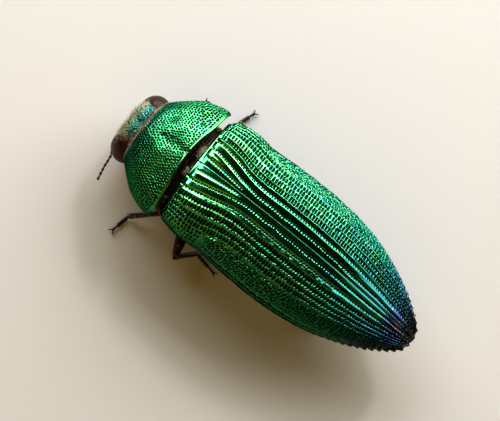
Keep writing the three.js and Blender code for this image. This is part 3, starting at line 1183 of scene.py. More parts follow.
@dataclass
class Prothorax:
    """The nodding front ring: a punctured back plate and the plates of its underside."""

    profile: Rows = (  # [distance ahead of the base, half-width, rise, drop], front to back
        (1.98, 1.36, 0.99, 1.02),
        (1.68, 1.64, 1.14, 1.12),
        (1.08, 2.12, 1.28, 1.25),
        (0.5, 2.34, 1.35, 1.27),
        (0.15, 2.4, 1.37, 1.22),
        (0.0, 2.37, 1.36, 1.17),
    )
    hinge: Triple = (0.0, -0.18, 2.22)  # middle of its base
    flex: float = math.radians(12)  # how far it nods, in radians
    flank: float = 0.4  # how far the back plate wraps below the hinge line
    pitch: float = 0.112  # distance between the punctures of the back plate
    # depth of a puncture, and how much deeper it is on the flanks
    punch_depth: Pair = (0.038, 0.018)
    # [mm aside, squash aside, mm ahead of the base, squash ahead, half-width, height] of its hollows and
    # swellings
    dents: Rows = (
        (0.0, 1.0, 0.1, 1.2, 0.09, -0.06),
        (1.35, 1.0, 0.55, 1.1, 0.42, -0.085),
        (0.85, 0.8, 1.35, 1.0, 0.3, -0.06),
        (0.55, 1.2, 0.9, 1.0, 0.3, 0.03),
    )
    lobe: float = 0.14  # how far the flanks of the base reach behind its middle
    cut_back: float = 0.42  # how far the hind edge is cut forward on the underside
    # [mm in, mm past the edge] of the rims that give the plates their thickness
    rim: Rows = ((0.03, 0.02), (0.07, -0.01), (0.12, -0.3))
    along: int = 215  # rows of points along the back plate
    across: int = 430  # columns of points round it, about
    wrapped: int = 24  # columns of points below the hinge line, on each side
    breast_grid: Grid = (110, 260)  # rows and columns of points of the underside

    def placed(self) -> Matrix:
        """The matrix from the plate's straight frame to where it nods."""
        return Matrix.Translation(self.hinge) @ Matrix.Rotation(self.flex, 4, "X")

    def back_relief(self, s: Array, from_base: Array) -> tuple[Array, Marks]:
        """Works out the punctures, hollows and beads of the back plate.

        Args:
            s: distance of each point from the middle line, round the plate.
            from_base: its distance ahead of the base.

        Returns:
            The height at each point, and the marks for the finish.
        """
        from_front = self.profile[0][0] - from_base
        warped = s + 0.03 * ripple(s, from_base, 0.5, 8.0)
        away = nearest_pit(warped, from_base, self.pitch, 0.38, 9.0)
        # Painted shade: the dark of each puncture is set off towards its wall away from the middle line.
        shaded = nearest_pit(warped - 0.015 * np.sign(s), from_base, self.pitch, 0.38, 9.0)
        inside = ease(0.06, 0.12, from_base) * ease(0.03, 0.09, from_front)
        furrow = hump(s, 0.17) * ease(0.1, 0.35, from_base) * fade(1.1, 1.4, from_base)
        coarse = np.maximum(furrow, ease(0.9, 1.9, np.abs(s)))
        wide = 0.05 * coarse
        pit = fade(0.13 + wide, 0.38 + wide, away) * inside
        bead = hump(from_base - 0.02, 0.025) + 0.4 * hump(from_front - 0.03, 0.04)
        height = 0.018 * bead - (self.punch_depth[0] + self.punch_depth[1] * coarse) * pit - 0.035 * furrow
        for aside, narrow, ahead, short, width, rise in self.dents:
            height += rise * hump(np.hypot((np.abs(s) - aside) * narrow, (from_base - ahead) * short), width)
        height += 0.012 * ripple(s, from_base, 0.45, 12.0)
        side = np.abs(s) / np.abs(s).max(axis=1, keepdims=True)
        return height, {
            "along": 1 - from_base / self.profile[0][0],
            "across": side,
            "pit": pit,
            "pore_shade": fade(0.12 + wide, 0.38 + wide, shaded) * inside,
            # painted highlight along the beads of the base and front edge, on the middle part
            "ridge_highlight": 0.35 * np.clip(bead, 0, 1) * fade(0.3, 0.9, side),
        }

    def back_plate(self) -> Sheet:
        """Makes the back plate with its punctures, hollows and rims.

        Returns:
            The plate, where it nods.
        """
        ahead, width, rise, drop = smooth(self.profile, np.linspace(0, 1, self.along)).T
        above = arch(width, rise, np.linspace(1, 0, self.across // 2)[:-1])
        turn = np.arcsin(np.clip(self.flank / drop, 0, 1) ** (FULLNESS / 2))[:, None]
        turn = turn * np.linspace(1, 0, self.wrapped, endpoint=False)[None, :]
        low_x = width[:, None] * np.cos(turn) ** (2 / FULLNESS)
        low_z = -drop[:, None] * np.sin(turn) ** (2 / FULLNESS)
        x = both_sides(np.concatenate([low_x, above[:, :, 0]], axis=1), -1)
        z = both_sides(np.concatenate([low_z, above[:, :, 1]], axis=1))
        s = both_sides(np.concatenate([above[:, :1, 2] - low_z, above[:, :, 2]], axis=1), -1)
        from_base = np.broadcast_to(ahead[:, None], x.shape)
        height, marks = self.back_relief(s, from_base)
        lobe = self.lobe * (ease(0.1, 1.5, np.abs(s)) - ease(2.2, 2.9, np.abs(s))) * fade(0.0, 0.9, from_base)
        points = np.stack([x, lobe + self.slant(z, from_base) - from_base, z], axis=2)
        return self.rimmed(Sheet(points, marks).push(height)).turned(self.placed())

    def breast(self) -> Sheet:
        """Makes the plates of its underside, with the raised process between the fore hips.

        Returns:
            The plates, where they nod.
        """
        ahead, width, _, drop = smooth(self.profile, np.linspace(0, 1, self.breast_grid[0])).T
        low = math.asin((self.flank / drop.mean()) ** (FULLNESS / 2))
        turn = np.linspace(low, math.pi - low, self.breast_grid[1])[None, :]
        x = -width[:, None] * (np.abs(np.cos(turn)) ** (2 / FULLNESS) * np.sign(np.cos(turn)))
        z = -drop[:, None] * np.sin(turn) ** (2 / FULLNESS)
        from_base = np.broadcast_to(ahead[:, None], x.shape)
        from_front = self.profile[0][0] - from_base
        inside = ease(0.03, 0.1, from_base) * ease(0.03, 0.1, from_front)
        pit = fade(0.18, 0.45, nearest_pit(x * 1.1, from_base + 0.3 * z, 0.12, 0.4, 11.0)) * inside
        process = hump(x, 0.17) * fade(0.7, 1.1, from_base)
        suture = hump(np.abs(x) - 1.05 + 0.2 * from_base, 0.04)
        height = -0.035 * pit + 0.1 * process - 0.05 * suture + 0.03 * hump(from_front - 0.04, 0.05)
        marks = {
            "along": 0.2 * inside,
            "across": 0.4 * np.abs(x) / 2.4,
            "pit": pit,
            # painted shade in the punctures
            "pore_shade": 0.6 * pit,
            "ridge_highlight": 0 * pit,
        }
        slant = self.slant(z, from_base) * (1 - 0.7 * hump(x, 0.5))
        points = np.stack([x, slant - from_base, z], axis=2)
        return self.rimmed(Sheet(points, marks).push(height)).turned(self.placed())

    def slant(self, z: Array, from_base: Array) -> Array:
        """How far the hind edge is cut forward below the widest level."""
        return -self.cut_back * ease(0.0, 0.7, -z) * fade(0.0, 1.0, from_base)

    def rimmed(self, sheet: Sheet) -> Sheet:
        """Turns a plate's front and hind edges in, to give it thickness.

        Args:
            sheet: the plate.

        Returns:
            The plate with its rims.
        """
        rims = []
        for edge, forward in ((sheet.points[0], -1.0), (sheet.points[-1], 1.0)):
            toward = unit(-edge * (1, 0, 1))
            along = np.array([0, forward, 0])
            rims.append([edge + toward * inward + along * past for inward, past in self.rim])
        points = np.concatenate([np.stack(rims[0][::-1]), sheet.points, np.stack(rims[1])], axis=0)
        plate = sheet.bordered(points, (len(self.rim), len(self.rim)), (0, 0))
        # Painted shade: the two rows of each rim that lie furthest in are coloured dark.
        plate.marks["pore_shade"][:2], plate.marks["pore_shade"][-2:] = 1.0, 1.0
        return plate

    def build(self) -> None:
        """Makes the plates and their bristles."""
        plate = self.back_plate()
        dress(weave("back_plate", [plate], own_map=True), PRONOTUM_GREEN, "pronotum")
        breast = self.breast()
        dress(weave("breast_plate", [breast], own_map=True), BRONZE, "prosternum")
        edge = {"rows": (0.014, 0.04), "columns": (0.1, 0.9)}
        tufts = edge | {"where": self.tufted, "tint": 0.4}
        fringe = Coat(plate, 170, 0.25, 0.006, (0, -1, -0.3), 0.14, seed=SEED + 5, **tufts)
        brim = Coat(plate, 380, 0.07, 0.006, (0, -1, -0.2), 0.1, tint=0.35, seed=SEED + 8, **edge)
        below = Coat(breast, 500, 0.14, 0.006, (0, 1, 0), tint=0.1, seed=SEED + 6)
        plant("prothorax_bristles", [fringe, brim, below], SILVER_HAIR)
        under = Coat(plate, 700, 0.26, 0.0065, (0, -1, -0.35), 0.08, tint=1.0, seed=SEED + 7, **edge)
        plant("nape_bristles", [under], BROWN_HAIR)

    @staticmethod
    def tufted(u: Array, v: Array) -> Array:
        """Where the long fringe grows: in small tufts along the front edge."""
        return 0.08 + 0.92 * ease(0.1, 0.6, ripple(50 * v, 0 * u, 1.0, 14.0))


# -------- limbs and round bodies

LIMB_CAP = 0.06  # share of a limb's length over which each end rounds off
BLUNT = 0.02  # share of its width that a limb keeps at its very end


def sweep(path: Array, wide: Array, tall: Array, around: int = 18, up: Triple = (0, 0, 1)) -> Sheet:
    """Draws a body along a path.

    Args:
        path: points (n, 3) along its middle.
        wide: its half-width across the upward direction at each point.
        tall: its half-width along the upward direction.
        around: points round it.
        up: the upward direction, roughly.

    Returns:
        The surface, facing out.
    """
    tangent = unit(np.gradient(path, axis=0))
    side = unit(np.cross(tangent, np.asarray(up, float)))
    lift = np.cross(side, tangent)
    turn = np.linspace(0, 2 * math.pi, around, endpoint=False)
    across = side[:, None] * (np.cos(turn)[None, :] * wide[:, None])[..., None]
    upward = lift[:, None] * (np.sin(turn)[None, :] * tall[:, None])[..., None]
    return Sheet(path[:, None] + across + upward, {"thin": np.zeros((len(path), around))}, ring=True)


def bulb(t: Array, rows: Rows) -> Array:
    """Reads the half-widths of a limb and rounds off both its ends.

    Args:
        t: where along it, from 0 to 1.
        rows: [t, half-width] along it.

    Returns:
        The half-width at each t.
    """
    places, widths = np.asarray(rows, float).T
    start, end = (np.clip(1 - np.maximum(1 - inside / LIMB_CAP, 0) ** 2, 0, 1) for inside in (t, 1 - t))
    return np.interp(t, places, widths) * np.maximum(np.sqrt(start * end), BLUNT)


def line(start: Array, end: Array, t: Array) -> Array:
    """Points on the straight line from start to end at each t."""
    return start + (end - start) * t[:, None]


def spike(root: Array, tip: Array, width: float, bend: Array) -> Sheet:
    """Makes a tapering spine or claw.

    Args:
        root: middle of its root.
        tip: its tip.
        width: its half-width at the root.
        bend: how far its middle bows out.

    Returns:
        The surface, facing out.
    """
    t = np.linspace(0, 1, 9)
    girth = width * (1 - t) ** 0.8 + 0.002
    return sweep(line(root, tip, t) + bend * (4 * t * (1 - t))[:, None], girth, girth, 8, (0.3, 0.2, 1))


def ovoid(centre: Triple | Array, radii: Triple, rings: int, around: int, cant: float = 0.0) -> Sheet:
    """Makes an ellipsoid whose poles lie along Z.

    Args:
        centre: its middle.
        radii: its half-sizes.
        rings: rows of points from pole to pole.
        around: points in each row.
        cant: how far it tilts about Y, in radians.

    Returns:
        The surface, facing out.
    """
    rise = np.linspace(-math.pi / 2, math.pi / 2, rings)[:, None]
    turn = np.linspace(0, 2 * math.pi, around, endpoint=False)[None, :]
    flat = np.cos(rise)
    ball = np.stack([flat * np.cos(turn), flat * np.sin(turn), np.sin(rise) + 0 * turn], axis=2)
    sheet = Sheet(ball[:, ::-1] * radii, {"thin": np.zeros((rings, around))}, ring=True)
    return sheet.turned(Matrix.Translation(centre) @ Matrix.Rotation(cant, 4, "Y"))


# -------- head


@dataclass
class Head:
    """The head: punctured capsule, eyes, face plate, jaws and palps."""

    centre: Triple = (0.0, -2.3, 1.72)  # middle of the capsule
    radii: Triple = (1.16, 0.74, 1.0)  # its half-sizes
    # where it starts behind the crown and ends under the chin, in degrees over the brow
    span: Pair = (25, 305)
    half_turn: float = 86  # how far it reaches to the side, in degrees
    side_power: float = 0.72  # how square it is seen from the front; 1 is round
    over_power: float = 0.8  # how square it is seen from the side
    grid: Grid = (260, 240)  # rows and columns of its points
    brow_radius: float = 0.8  # mean distance from its middle to the brow, for the layout of its punctures
    pitch: float = 0.085  # distance between its punctures
    eye_centre: Triple = (0.83, -2.39, 1.66)  # middle of the left eye
    eye_radii: Triple = (0.6, 0.58, 0.87)  # its half-sizes
    eye_cant: float = -0.08  # how far the eye's long axis tilts out, in radians
    # points along the middle of the left jaw
    jaw_path: Rows = ((0.42, -2.5, 0.72), (0.44, -2.68, 0.62), (0.3, -2.8, 0.52), (0.07, -2.84, 0.47))
    palp_paths: tuple[Rows, ...] = (  # points along the left palps, from the root over the joint to the tip
        ((0.3, -2.45, 0.5), (0.36, -2.62, 0.36), (0.3, -2.78, 0.3)),
        ((0.14, -2.45, 0.46), (0.15, -2.58, 0.34), (0.12, -2.68, 0.3)),
    )

    def capsule(self) -> Sheet:
        """Makes the capsule: a grid from the crown over the brow to the chin, with poles under the eyes.

        Returns:
            The capsule, facing out.
        """
        down = np.linspace(math.radians(self.span[0]), math.radians(self.span[1]), self.grid[0])[:, None]
        turn = np.linspace(-1, 1, self.grid[1])[None, :] * math.radians(self.half_turn)
        x = self.radii[0] * np.sin(turn) + 0 * down
        spread = np.cos(turn) ** self.side_power
        y = self.radii[1] * spread * np.sign(np.cos(down)) * np.abs(np.cos(down)) ** self.over_power
        z = self.radii[2] * spread * np.sign(np.sin(down)) * np.abs(np.sin(down)) ** self.over_power
        height, marks = self.relief(x, np.degrees(down) + 0 * x)
        return Sheet(np.stack([x, y, z], axis=2) + self.centre, marks).push(height)

    def relief(self, x: Array, arc: Array) -> tuple[Array, Marks]:
        """Works out the punctures and hollows of the capsule.

        Args:
            x: how far aside each point lies.
            arc: how far over the brow it lies, in degrees.

        Returns:
            The height at each point, and the marks for the finish.
        """
        aside, over = np.abs(x), np.radians(arc) * self.brow_radius
        away = nearest_pit(x + 0.03 * ripple(x, over, 0.4, 3.0), over, self.pitch, 0.35, 4.0)
        pit = fade(0.2, 0.45, away) * ease(60, 75, arc) * fade(240, 260, arc)
        furrow = hump(x, 0.06) * ease(60, 80, arc) * fade(150, 185, arc)
        height = -0.045 * pit + 0.012 * ripple(x, over, 0.3, 5.0) - 0.05 * furrow
        height -= 0.05 * hump(x, 0.4) * hump(arc - 165, 40)
        height += 0.03 * hump(aside - 0.3, 0.2) * hump(arc - 115, 30)
        height -= 0.12 * hump(np.hypot(aside - 0.5, (arc - 203) / 70), 0.13)  # the sockets of the feelers
        return height, {
            "along": np.clip((arc - 60) / 170, 0, 1),
            "across": np.clip(aside / 1.1, 0, 1),
            "pit": pit,
            # painted shade in the punctures
            "pore_shade": 0.7 * pit,
            # a paler painted highlight on the face between the punctures
            "ridge_highlight": 0.3 * ease(70, 100, arc) * fade(225, 245, arc) * (1 - pit),
        }

    def eye(self) -> Sheet:
        """Makes the left eye: a bulging kidney, paler along its lower edge.

        Returns:
            The eye, facing out.
        """
        eye = ovoid(self.eye_centre, self.eye_radii, 70, 110, self.eye_cant)
        x, y, z = np.moveaxis(eye.points, 2, 0)
        outer = ease(1.25, 1.36, x + 0.1 * (self.eye_centre[2] - z))
        eye.marks["thin"] = 0.6 * outer * ease(-2.2, -2.6, y + 0.2 * x)
        return eye

    def face_plate(self) -> list[Sheet]:
        """Makes the face plate with its notched front edge, the lip below it and the mouth behind them.

        Returns:
            Their surfaces.
        """
        across = np.linspace(-1, 1, 60)[None, :]
        down = np.linspace(0, 1, 26)[:, None]
        notch = 0.09 * hump(across, 0.34)
        x = across * (0.5 - 0.12 * down)
        y = -2.76 - 0.2 * np.sqrt(1 - 0.55 * across**2) - 0.05 * np.sin(math.pi * down) + 0.14 * down
        z = 1.0 - (0.27 - notch) * down + 0 * across
        bulge = 0.02 * np.sqrt(np.sin(math.pi * np.clip(down, 0.02, 0.98)))
        front = Sheet(np.stack([x, y, z], axis=2)).push(bulge).points
        plate = np.concatenate([front, front[::-1] + (0, 0.12, 0.02)], axis=0)
        t = np.linspace(0, 1, 20)
        path = np.stack([(t - 0.5) * 0.52, -2.82 - 0.07 * np.sin(math.pi * t), 0.72 + 0 * t], axis=1)
        lip = sweep(path, bulb(t, ((0, 0.07), (0.5, 0.1), (1, 0.07))), bulb(t, ((0, 0.06), (1, 0.06))))
        mouth = ovoid((0.0, -2.62, 0.76), (0.42, 0.24, 0.24), 40, 60)
        return [Sheet(plate, {"thin": np.zeros(plate.shape[:2])}), lip, mouth]

    def jaw(self) -> Sheet:
        """Makes the left jaw: a short, broad, curved tooth that meets its fellow below the lip.

        Returns:
            The jaw, facing out.
        """
        t = np.linspace(0, 1, 30)
        wide = bulb(t, ((0, 0.13), (0.3, 0.15), (0.7, 0.09), (1, 0.03)))
        tall = bulb(t, ((0, 0.16), (0.3, 0.17), (0.7, 0.11), (1, 0.04)))
        jaw = sweep(smooth(self.jaw_path, t), wide, tall, 24)
        jaw.marks["thin"] = np.broadcast_to(ease(0.5, 1.0, t)[:, None], jaw.marks["thin"].shape)
        return jaw

    def palps(self) -> list[Sheet]:
        """Makes the two small jointed palps under the left jaw.

        Returns:
            Their joints.
        """
        t = np.linspace(0, 1, 14)
        girth = bulb(t, ((0, 0.028), (0.7, 0.045), (1, 0.04)))
        joints = [pair for path in self.palp_paths for pair in zip(np.array(path), np.array(path[1:]))]
        return [sweep(line(root, tip, t), girth, girth, 10) for root, tip in joints]

    def build(self) -> None:
        """Makes the head's pieces and its bristles."""
        capsule, eye = self.capsule(), self.eye()
        dress(weave("head_capsule", [capsule], own_map=True), HEAD_GREEN, "head")
        dress(weave("eye_left", [eye]), EyeLens(), "eye_left")
        dress(weave("eye_right", [eye.mirrored()]), EyeLens(), "eye_right")
        dress(weave("face_plate", self.face_plate()), JAW_BLACK, "clypeus")
        mouth_parts = [self.jaw(), *self.palps()]
        dress(weave("jaw_left", mouth_parts), JAW_BLACK, "mandible_left")
        dress(weave("jaw_right", [part.mirrored() for part in mouth_parts]), JAW_BLACK, "mandible_right")
        shared = {"columns": (0.12, 0.88), "tint": 0.1}
        front = Coat(capsule, 2300, 0.17, 0.008, (0, -0.5, -1), 0.3, (0.3, 0.78), seed=SEED + 1, **shared)
        crown = Coat(capsule, 120, 0.1, 0.006, (0, -1, -0.2), 0.3, (0.16, 0.3), seed=SEED + 2, **shared)
        plant("face_bristles", [front, crown], SILVER_HAIR)


@dataclass
class Feeler:
    """An antenna of eleven joints, saw-toothed from the fifth."""

    name: str  # which side it is on
    path: Rows  # points from the socket to the tip
    bulge: float = 0.062  # half-width of the broadest joints
    slender: float = 0.72  # share of it that the joints before the teeth have
    # lengths of the joints, from the root, in any unit
    shares: Row = (1.5, 0.8, 1.0, 1.0, 1.05, 1.0, 1.0, 0.95, 0.9, 0.85, 1.0)
    toothed: range = range(4, 10)  # numbers of the joints that have a tooth, counted from 0
    tooth: float = 0.55  # how far a tooth stands out, in half-widths
    around: int = 14  # points round a joint

    def joint(self, number: int, start: float, end: float) -> Sheet:
        """Makes one joint.

        Args:
            number: which it is, from 0 at the root.
            start: where it starts along the path, from 0 to 1.
            end: where it ends.

        Returns:
            The joint, facing out.
        """
        t = np.linspace(0, 1, 18)
        broad = self.bulge * (self.slender if number < self.toothed.start else 1.0)
        tall = bulb(t, ((0, broad * 0.45), (0.65, broad), (0.9, broad * 1.05), (1, broad * 0.7)))
        joint = sweep(smooth(self.path, start + (end - start) * t), tall * 0.75, tall, self.around)
        if number in self.toothed:
            turn = np.linspace(0, 2 * math.pi, self.around, endpoint=False)
            below = np.clip(-np.sin(turn), 0, 1)[None, :] ** 2
            joint.points[..., 2] -= below * (self.tooth * tall * ease(0.2, 0.85, t))[:, None]
        return joint

    def build(self) -> None:
        """Makes the antenna."""
        ends = length_along(self.shares) / sum(self.shares)
        joints = [self.joint(number, *pair) for number, pair in enumerate(zip(ends, ends[1:]))]
        dress(weave(f"feeler_{self.name}", joints), FEELER_BROWN, f"antenna_{self.name}")


# -------- underside


@dataclass
class Underside:
    """The plates under the hind body, the folded skin of the neck and the soft body inside."""

    profile: Rows = (  # [station, height of the keel, half-width], front to back
        (-0.15, 1.35, 1.55),
        (0.35, 1.05, 1.95),
        (1.2, 0.92, 2.2),
        (2.6, 0.85, 2.24),
        (4.2, 0.85, 2.27),
        (5.8, 0.93, 2.15),
        (7.2, 1.12, 1.84),
        (8.4, 1.4, 1.34),
        (9.3, 1.72, 0.78),
        (9.75, 1.95, 0.36),
    )
    # stations where one ring ends and the next begins
    cuts: Row = (-0.3, 0.95, 3.25, 4.85, 6.15, 7.25, 8.3, 9.8)
    # the CAD nodes of the rings, front to back
    names: tuple[str, ...] = ("mesothorax", "metathorax", *(f"abdomen_{number}" for number in range(1, 6)))
    seam: float = 0.02  # half the gap between neighbouring rings
    # height of the rings' upper edge at station 0, and its fall over the body's length
    lid: Pair = (2.35, 0.32)
    # how far each row of a ring's rims lies inside its edge, from the edge inwards
    turned_in: Row = (0.03, 0.1, 0.3)
    body_length: float = 10.0  # length over which the colour and the lid change
    pitch: float = 0.15  # distance between the punctures
    collar_profile: Rows = (  # [station, half-width, height of the ridge] of the neck's collar
        (-0.95, 2.0, 2.95),
        (-0.66, 2.1, 3.05),
        (-0.44, 1.94, 3.02),
        (-0.26, 1.72, 3.08),
        (-0.1, 1.68, 3.28),
        (0.06, 1.68, 3.34),
        (0.3, 1.68, 3.38),
    )
    collar_base: float = 1.9  # height of the collar's sides
    fold: float = 0.11  # distance between the collar's folds
    core_profile: Rows = (  # [station, half-width, height of the ridge] of the soft body
        (-0.6, 1.5, 2.6),
        (0.2, 1.7, 2.95),
        (2.0, 1.8, 3.2),
        (5.0, 1.8, 3.2),
        (7.0, 1.42, 2.95),
        (8.6, 0.8, 2.6),
        (9.4, 0.3, 2.3),
    )
    core_middle: float = 2.0  # height of its widest level
    core_depth: float = 0.14  # how far it lies inside the keel
    across: int = 300  # columns of points round a ring, about

    def keel_and_width(self, y: Array) -> tuple[Array, Array]:
        """Height of the keel and half-width at each station."""
        stations, keel, width = smooth(self.profile, np.linspace(0, 1, 900)).T
        return np.interp(y, stations, keel), np.interp(y, stations, width)

    def ring(self, number: int) -> Sheet:
        """Makes one ring's outer plate, from one wing case round the keel to the other.

        Args:
            number: which ring it is, from 0 at the front.

        Returns:
            The plate, facing out.
        """
        first, last = self.cuts[number] + self.seam, self.cuts[number + 1] - self.seam
        y = np.linspace(first, last, max(30, int((last - first) / 0.02)))
        keel, width = self.keel_and_width(y)
        lid = self.lid[0] - self.lid[1] * y / self.body_length
        curve = arch(width, lid - keel, np.linspace(1, 0, self.across // 2)[:-1])
        x, side = both_sides(curve[:, :, 0], -1), both_sides(curve[:, :, 2], -1)
        z = lid[:, None] - both_sides(curve[:, :, 1])
        station = np.broadcast_to(y[:, None], x.shape)
        height, pit = self.relief(number, station, side, (station - first) / (last - first))
        marks = {
            "along": station / self.body_length,
            "across": 0.4 * np.abs(side) / np.abs(side).max(),
            "pit": pit,
            # painted shade in the punctures
            "pore_shade": 0.7 * pit,
            "ridge_highlight": 0 * pit,
        }
        points = np.stack([x, station, z], axis=2)[:, ::-1]
        sheet = Sheet(points, {key: value[:, ::-1] for key, value in marks.items()})
        return self.rolled(sheet.push(height[:, ::-1]))

    def relief(
        self, number: int, station: Array, side: Array, share: Array
    ) -> tuple[Array, Array]:
        """Works out the punctures, rims, sutures and swollen ends of a ring.

        Args:
            number: which ring it is.
            station: distance along the body at each point.
            side: distance from the keel round the section at each point.
            share: from 0 at the ring's front to 1 at its back.

        Returns:
            The height and how deep in a puncture each point is.
        """
        aside = np.abs(side)
        warped = side + 0.02 * ripple(side, station, 0.4, 3.0)
        inside = ease(0.02, 0.08, share) * fade(0.9, 0.96, share)
        pit = fade(0.16, 0.4, nearest_pit(warped, station, self.pitch, 0.5, 20.0 + number)) * inside
        height = -0.03 * pit + 0.006 * ripple(side, station, 0.25, 30.0 + number)
        height += 0.035 * ease(0.0, 0.7, share) * fade(0.93, 1.0, share) - 0.03 * hump(1 - share, 0.02)
        if self.names[number] == "mesothorax":
            height -= 0.05 * hump(station - 0.42 - 0.1 * aside, 0.04)
        elif self.names[number] == "metathorax":
            hip = station - 2.72 + 0.12 * aside
            height -= 0.05 * hump(side, 0.035) * inside
            height += 0.09 * ease(-0.03, 0.05, hip) * fade(0.3, 0.5, hip) * fade(1.7, 2.1, aside)
            height -= 0.05 * hump(aside - 1.95 - 0.1 * station, 0.035)
        elif self.names[number] == "abdomen_1":
            height -= 0.06 * hump(side, 0.09) * fade(0.5, 0.9, share)
        elif self.names[number] == "abdomen_5":
            height += 0.03 * hump(share - 0.85, 0.06)
        return height, pit

    def rolled(self, sheet: Sheet) -> Sheet:
        """Turns a ring's front, back and upper edges in, to give the plate thickness.

        Args:
            sheet: the plate.

        Returns:
            The plate with its rims.
        """
        inward = sheet.points.mean(axis=1, keepdims=True) + (0, 0, 0.5) - sheet.points
        inward[..., 1] = 0
        inward = unit(inward)
        first = [sheet.points[0] + inward[0] * depth for depth in self.turned_in[::-1]]
        last = [sheet.points[-1] + inward[-1] * depth for depth in self.turned_in]
        points = np.concatenate([np.stack(first), sheet.points, np.stack(last)], axis=0)
        edges = [points[:, :1] + (0, 0, 0.03), points[:, -1:] + (0, 0, 0.03)]
        ledges = [edge - np.sign(edge[..., :1]) * (0.25, 0, 0) for edge in edges]
        points = np.concatenate([ledges[0], edges[0], points, edges[1], ledges[1]], axis=1)
        return sheet.bordered(points, (len(first), len(last)), (2, 2))

    def collar(self) -> Sheet:
        """Makes the low folded collar in the gap between the prothorax and the wing cases.

        Returns:
            The collar, facing out.
        """
        y, width, top = smooth(self.collar_profile, np.linspace(0, 1, 90)).T
        form = arch(width, top - self.collar_base, np.linspace(1, 0, 140)[:-1])
        x, z = both_sides(form[:, :, 0], -1), self.collar_base + both_sides(form[:, :, 1])
        station = np.broadcast_to(y[:, None], x.shape)
        folds = 0.02 * np.cos(station / self.fold * 2 * math.pi + 2 * ripple(x, station, 0.5, 3.0))
        folds += 0.012 * ripple(x, station, 0.12, 4.0)
        return Sheet(np.stack([x, station, z], axis=2), {"pit": 0 * x}).push(folds)

    def core(self) -> Sheet:
        """Makes the soft hind body inside the plates and under the wing cases.

        Returns:
            The body, as a ring.
        """
        y, width, top = smooth(self.core_profile, np.linspace(0, 1, 80)).T
        keel, _ = self.keel_and_width(y)
        above = arch(width, top - self.core_middle, np.linspace(1, 0, 40))[..., :2]
        below = arch(width, self.core_middle - keel - self.core_depth, np.linspace(1, 0, 40))[..., :2]
        quarters = (above, above[:, -2::-1] * (-1, 1), below[:, 1:] * (-1, -1), below[:, -2:0:-1] * (1, -1))
        x, z = np.moveaxis(np.concatenate(quarters, axis=1), 2, 0)
        station = np.broadcast_to(y[:, None], x.shape)
        return Sheet(np.stack([x, station, self.core_middle + z], axis=2), ring=True)

    def build(self) -> None:
        """Makes the rings, the collar, the soft body and their bristles."""
        coats = []
        for number, name in enumerate(self.names):
            ring = self.ring(number)
            dress(weave(f"plate_{name}", [ring], own_map=True), BRONZE, name)
            coats.append(Coat(ring, 420, 0.16, 0.007, (0, 1, 0), 0.3, tint=0.1, seed=SEED + 10 + number))
        collar = self.collar()
        dress(weave("neck_collar", [collar], own_map=True), NeckSkin())
        dress(weave("soft_body", [self.core()]), NeckSkin())
        plant("underside_bristles", coats, SILVER_HAIR)
        pale = {"where": self.tufted, "tint": 0.15, "seed": SEED + 30}
        tufts = Coat(collar, 4200, 0.2, 0.008, (0, 0.1, 0.8), 0.8, (0.5, 0.8), **pale)
        plant("collar_tufts", [tufts], SILVER_HAIR)
        fine = Coat(collar, 500, 0.12, 0.006, (0, 0.6, 0), 0.4, tint=1.0, seed=SEED + 31)
        plant("collar_bristles", [fine], BROWN_HAIR)

    @staticmethod
    def tufted(u: Array, v: Array) -> Array:
        """Where the pale tufts of the collar grow: beside the middle and at the shoulders."""
        tuft = hump(v - 0.585, 0.035) + 0.2 * hump(v - 0.4, 0.03) + 0.5 * hump(np.abs(v - 0.5) - 0.36, 0.015)
        return tuft * hump(u - 0.7, 0.05)


# -------- legs


@dataclass(frozen=True)
class LegPair:
    """What the two legs of a pair share."""

    coxa: Triple  # middle of the left hip
    hip: Triple  # where the left femur starts
    coxa_radii: Triple  # half-sizes of the hips
    stout: float  # half-width of the femurs


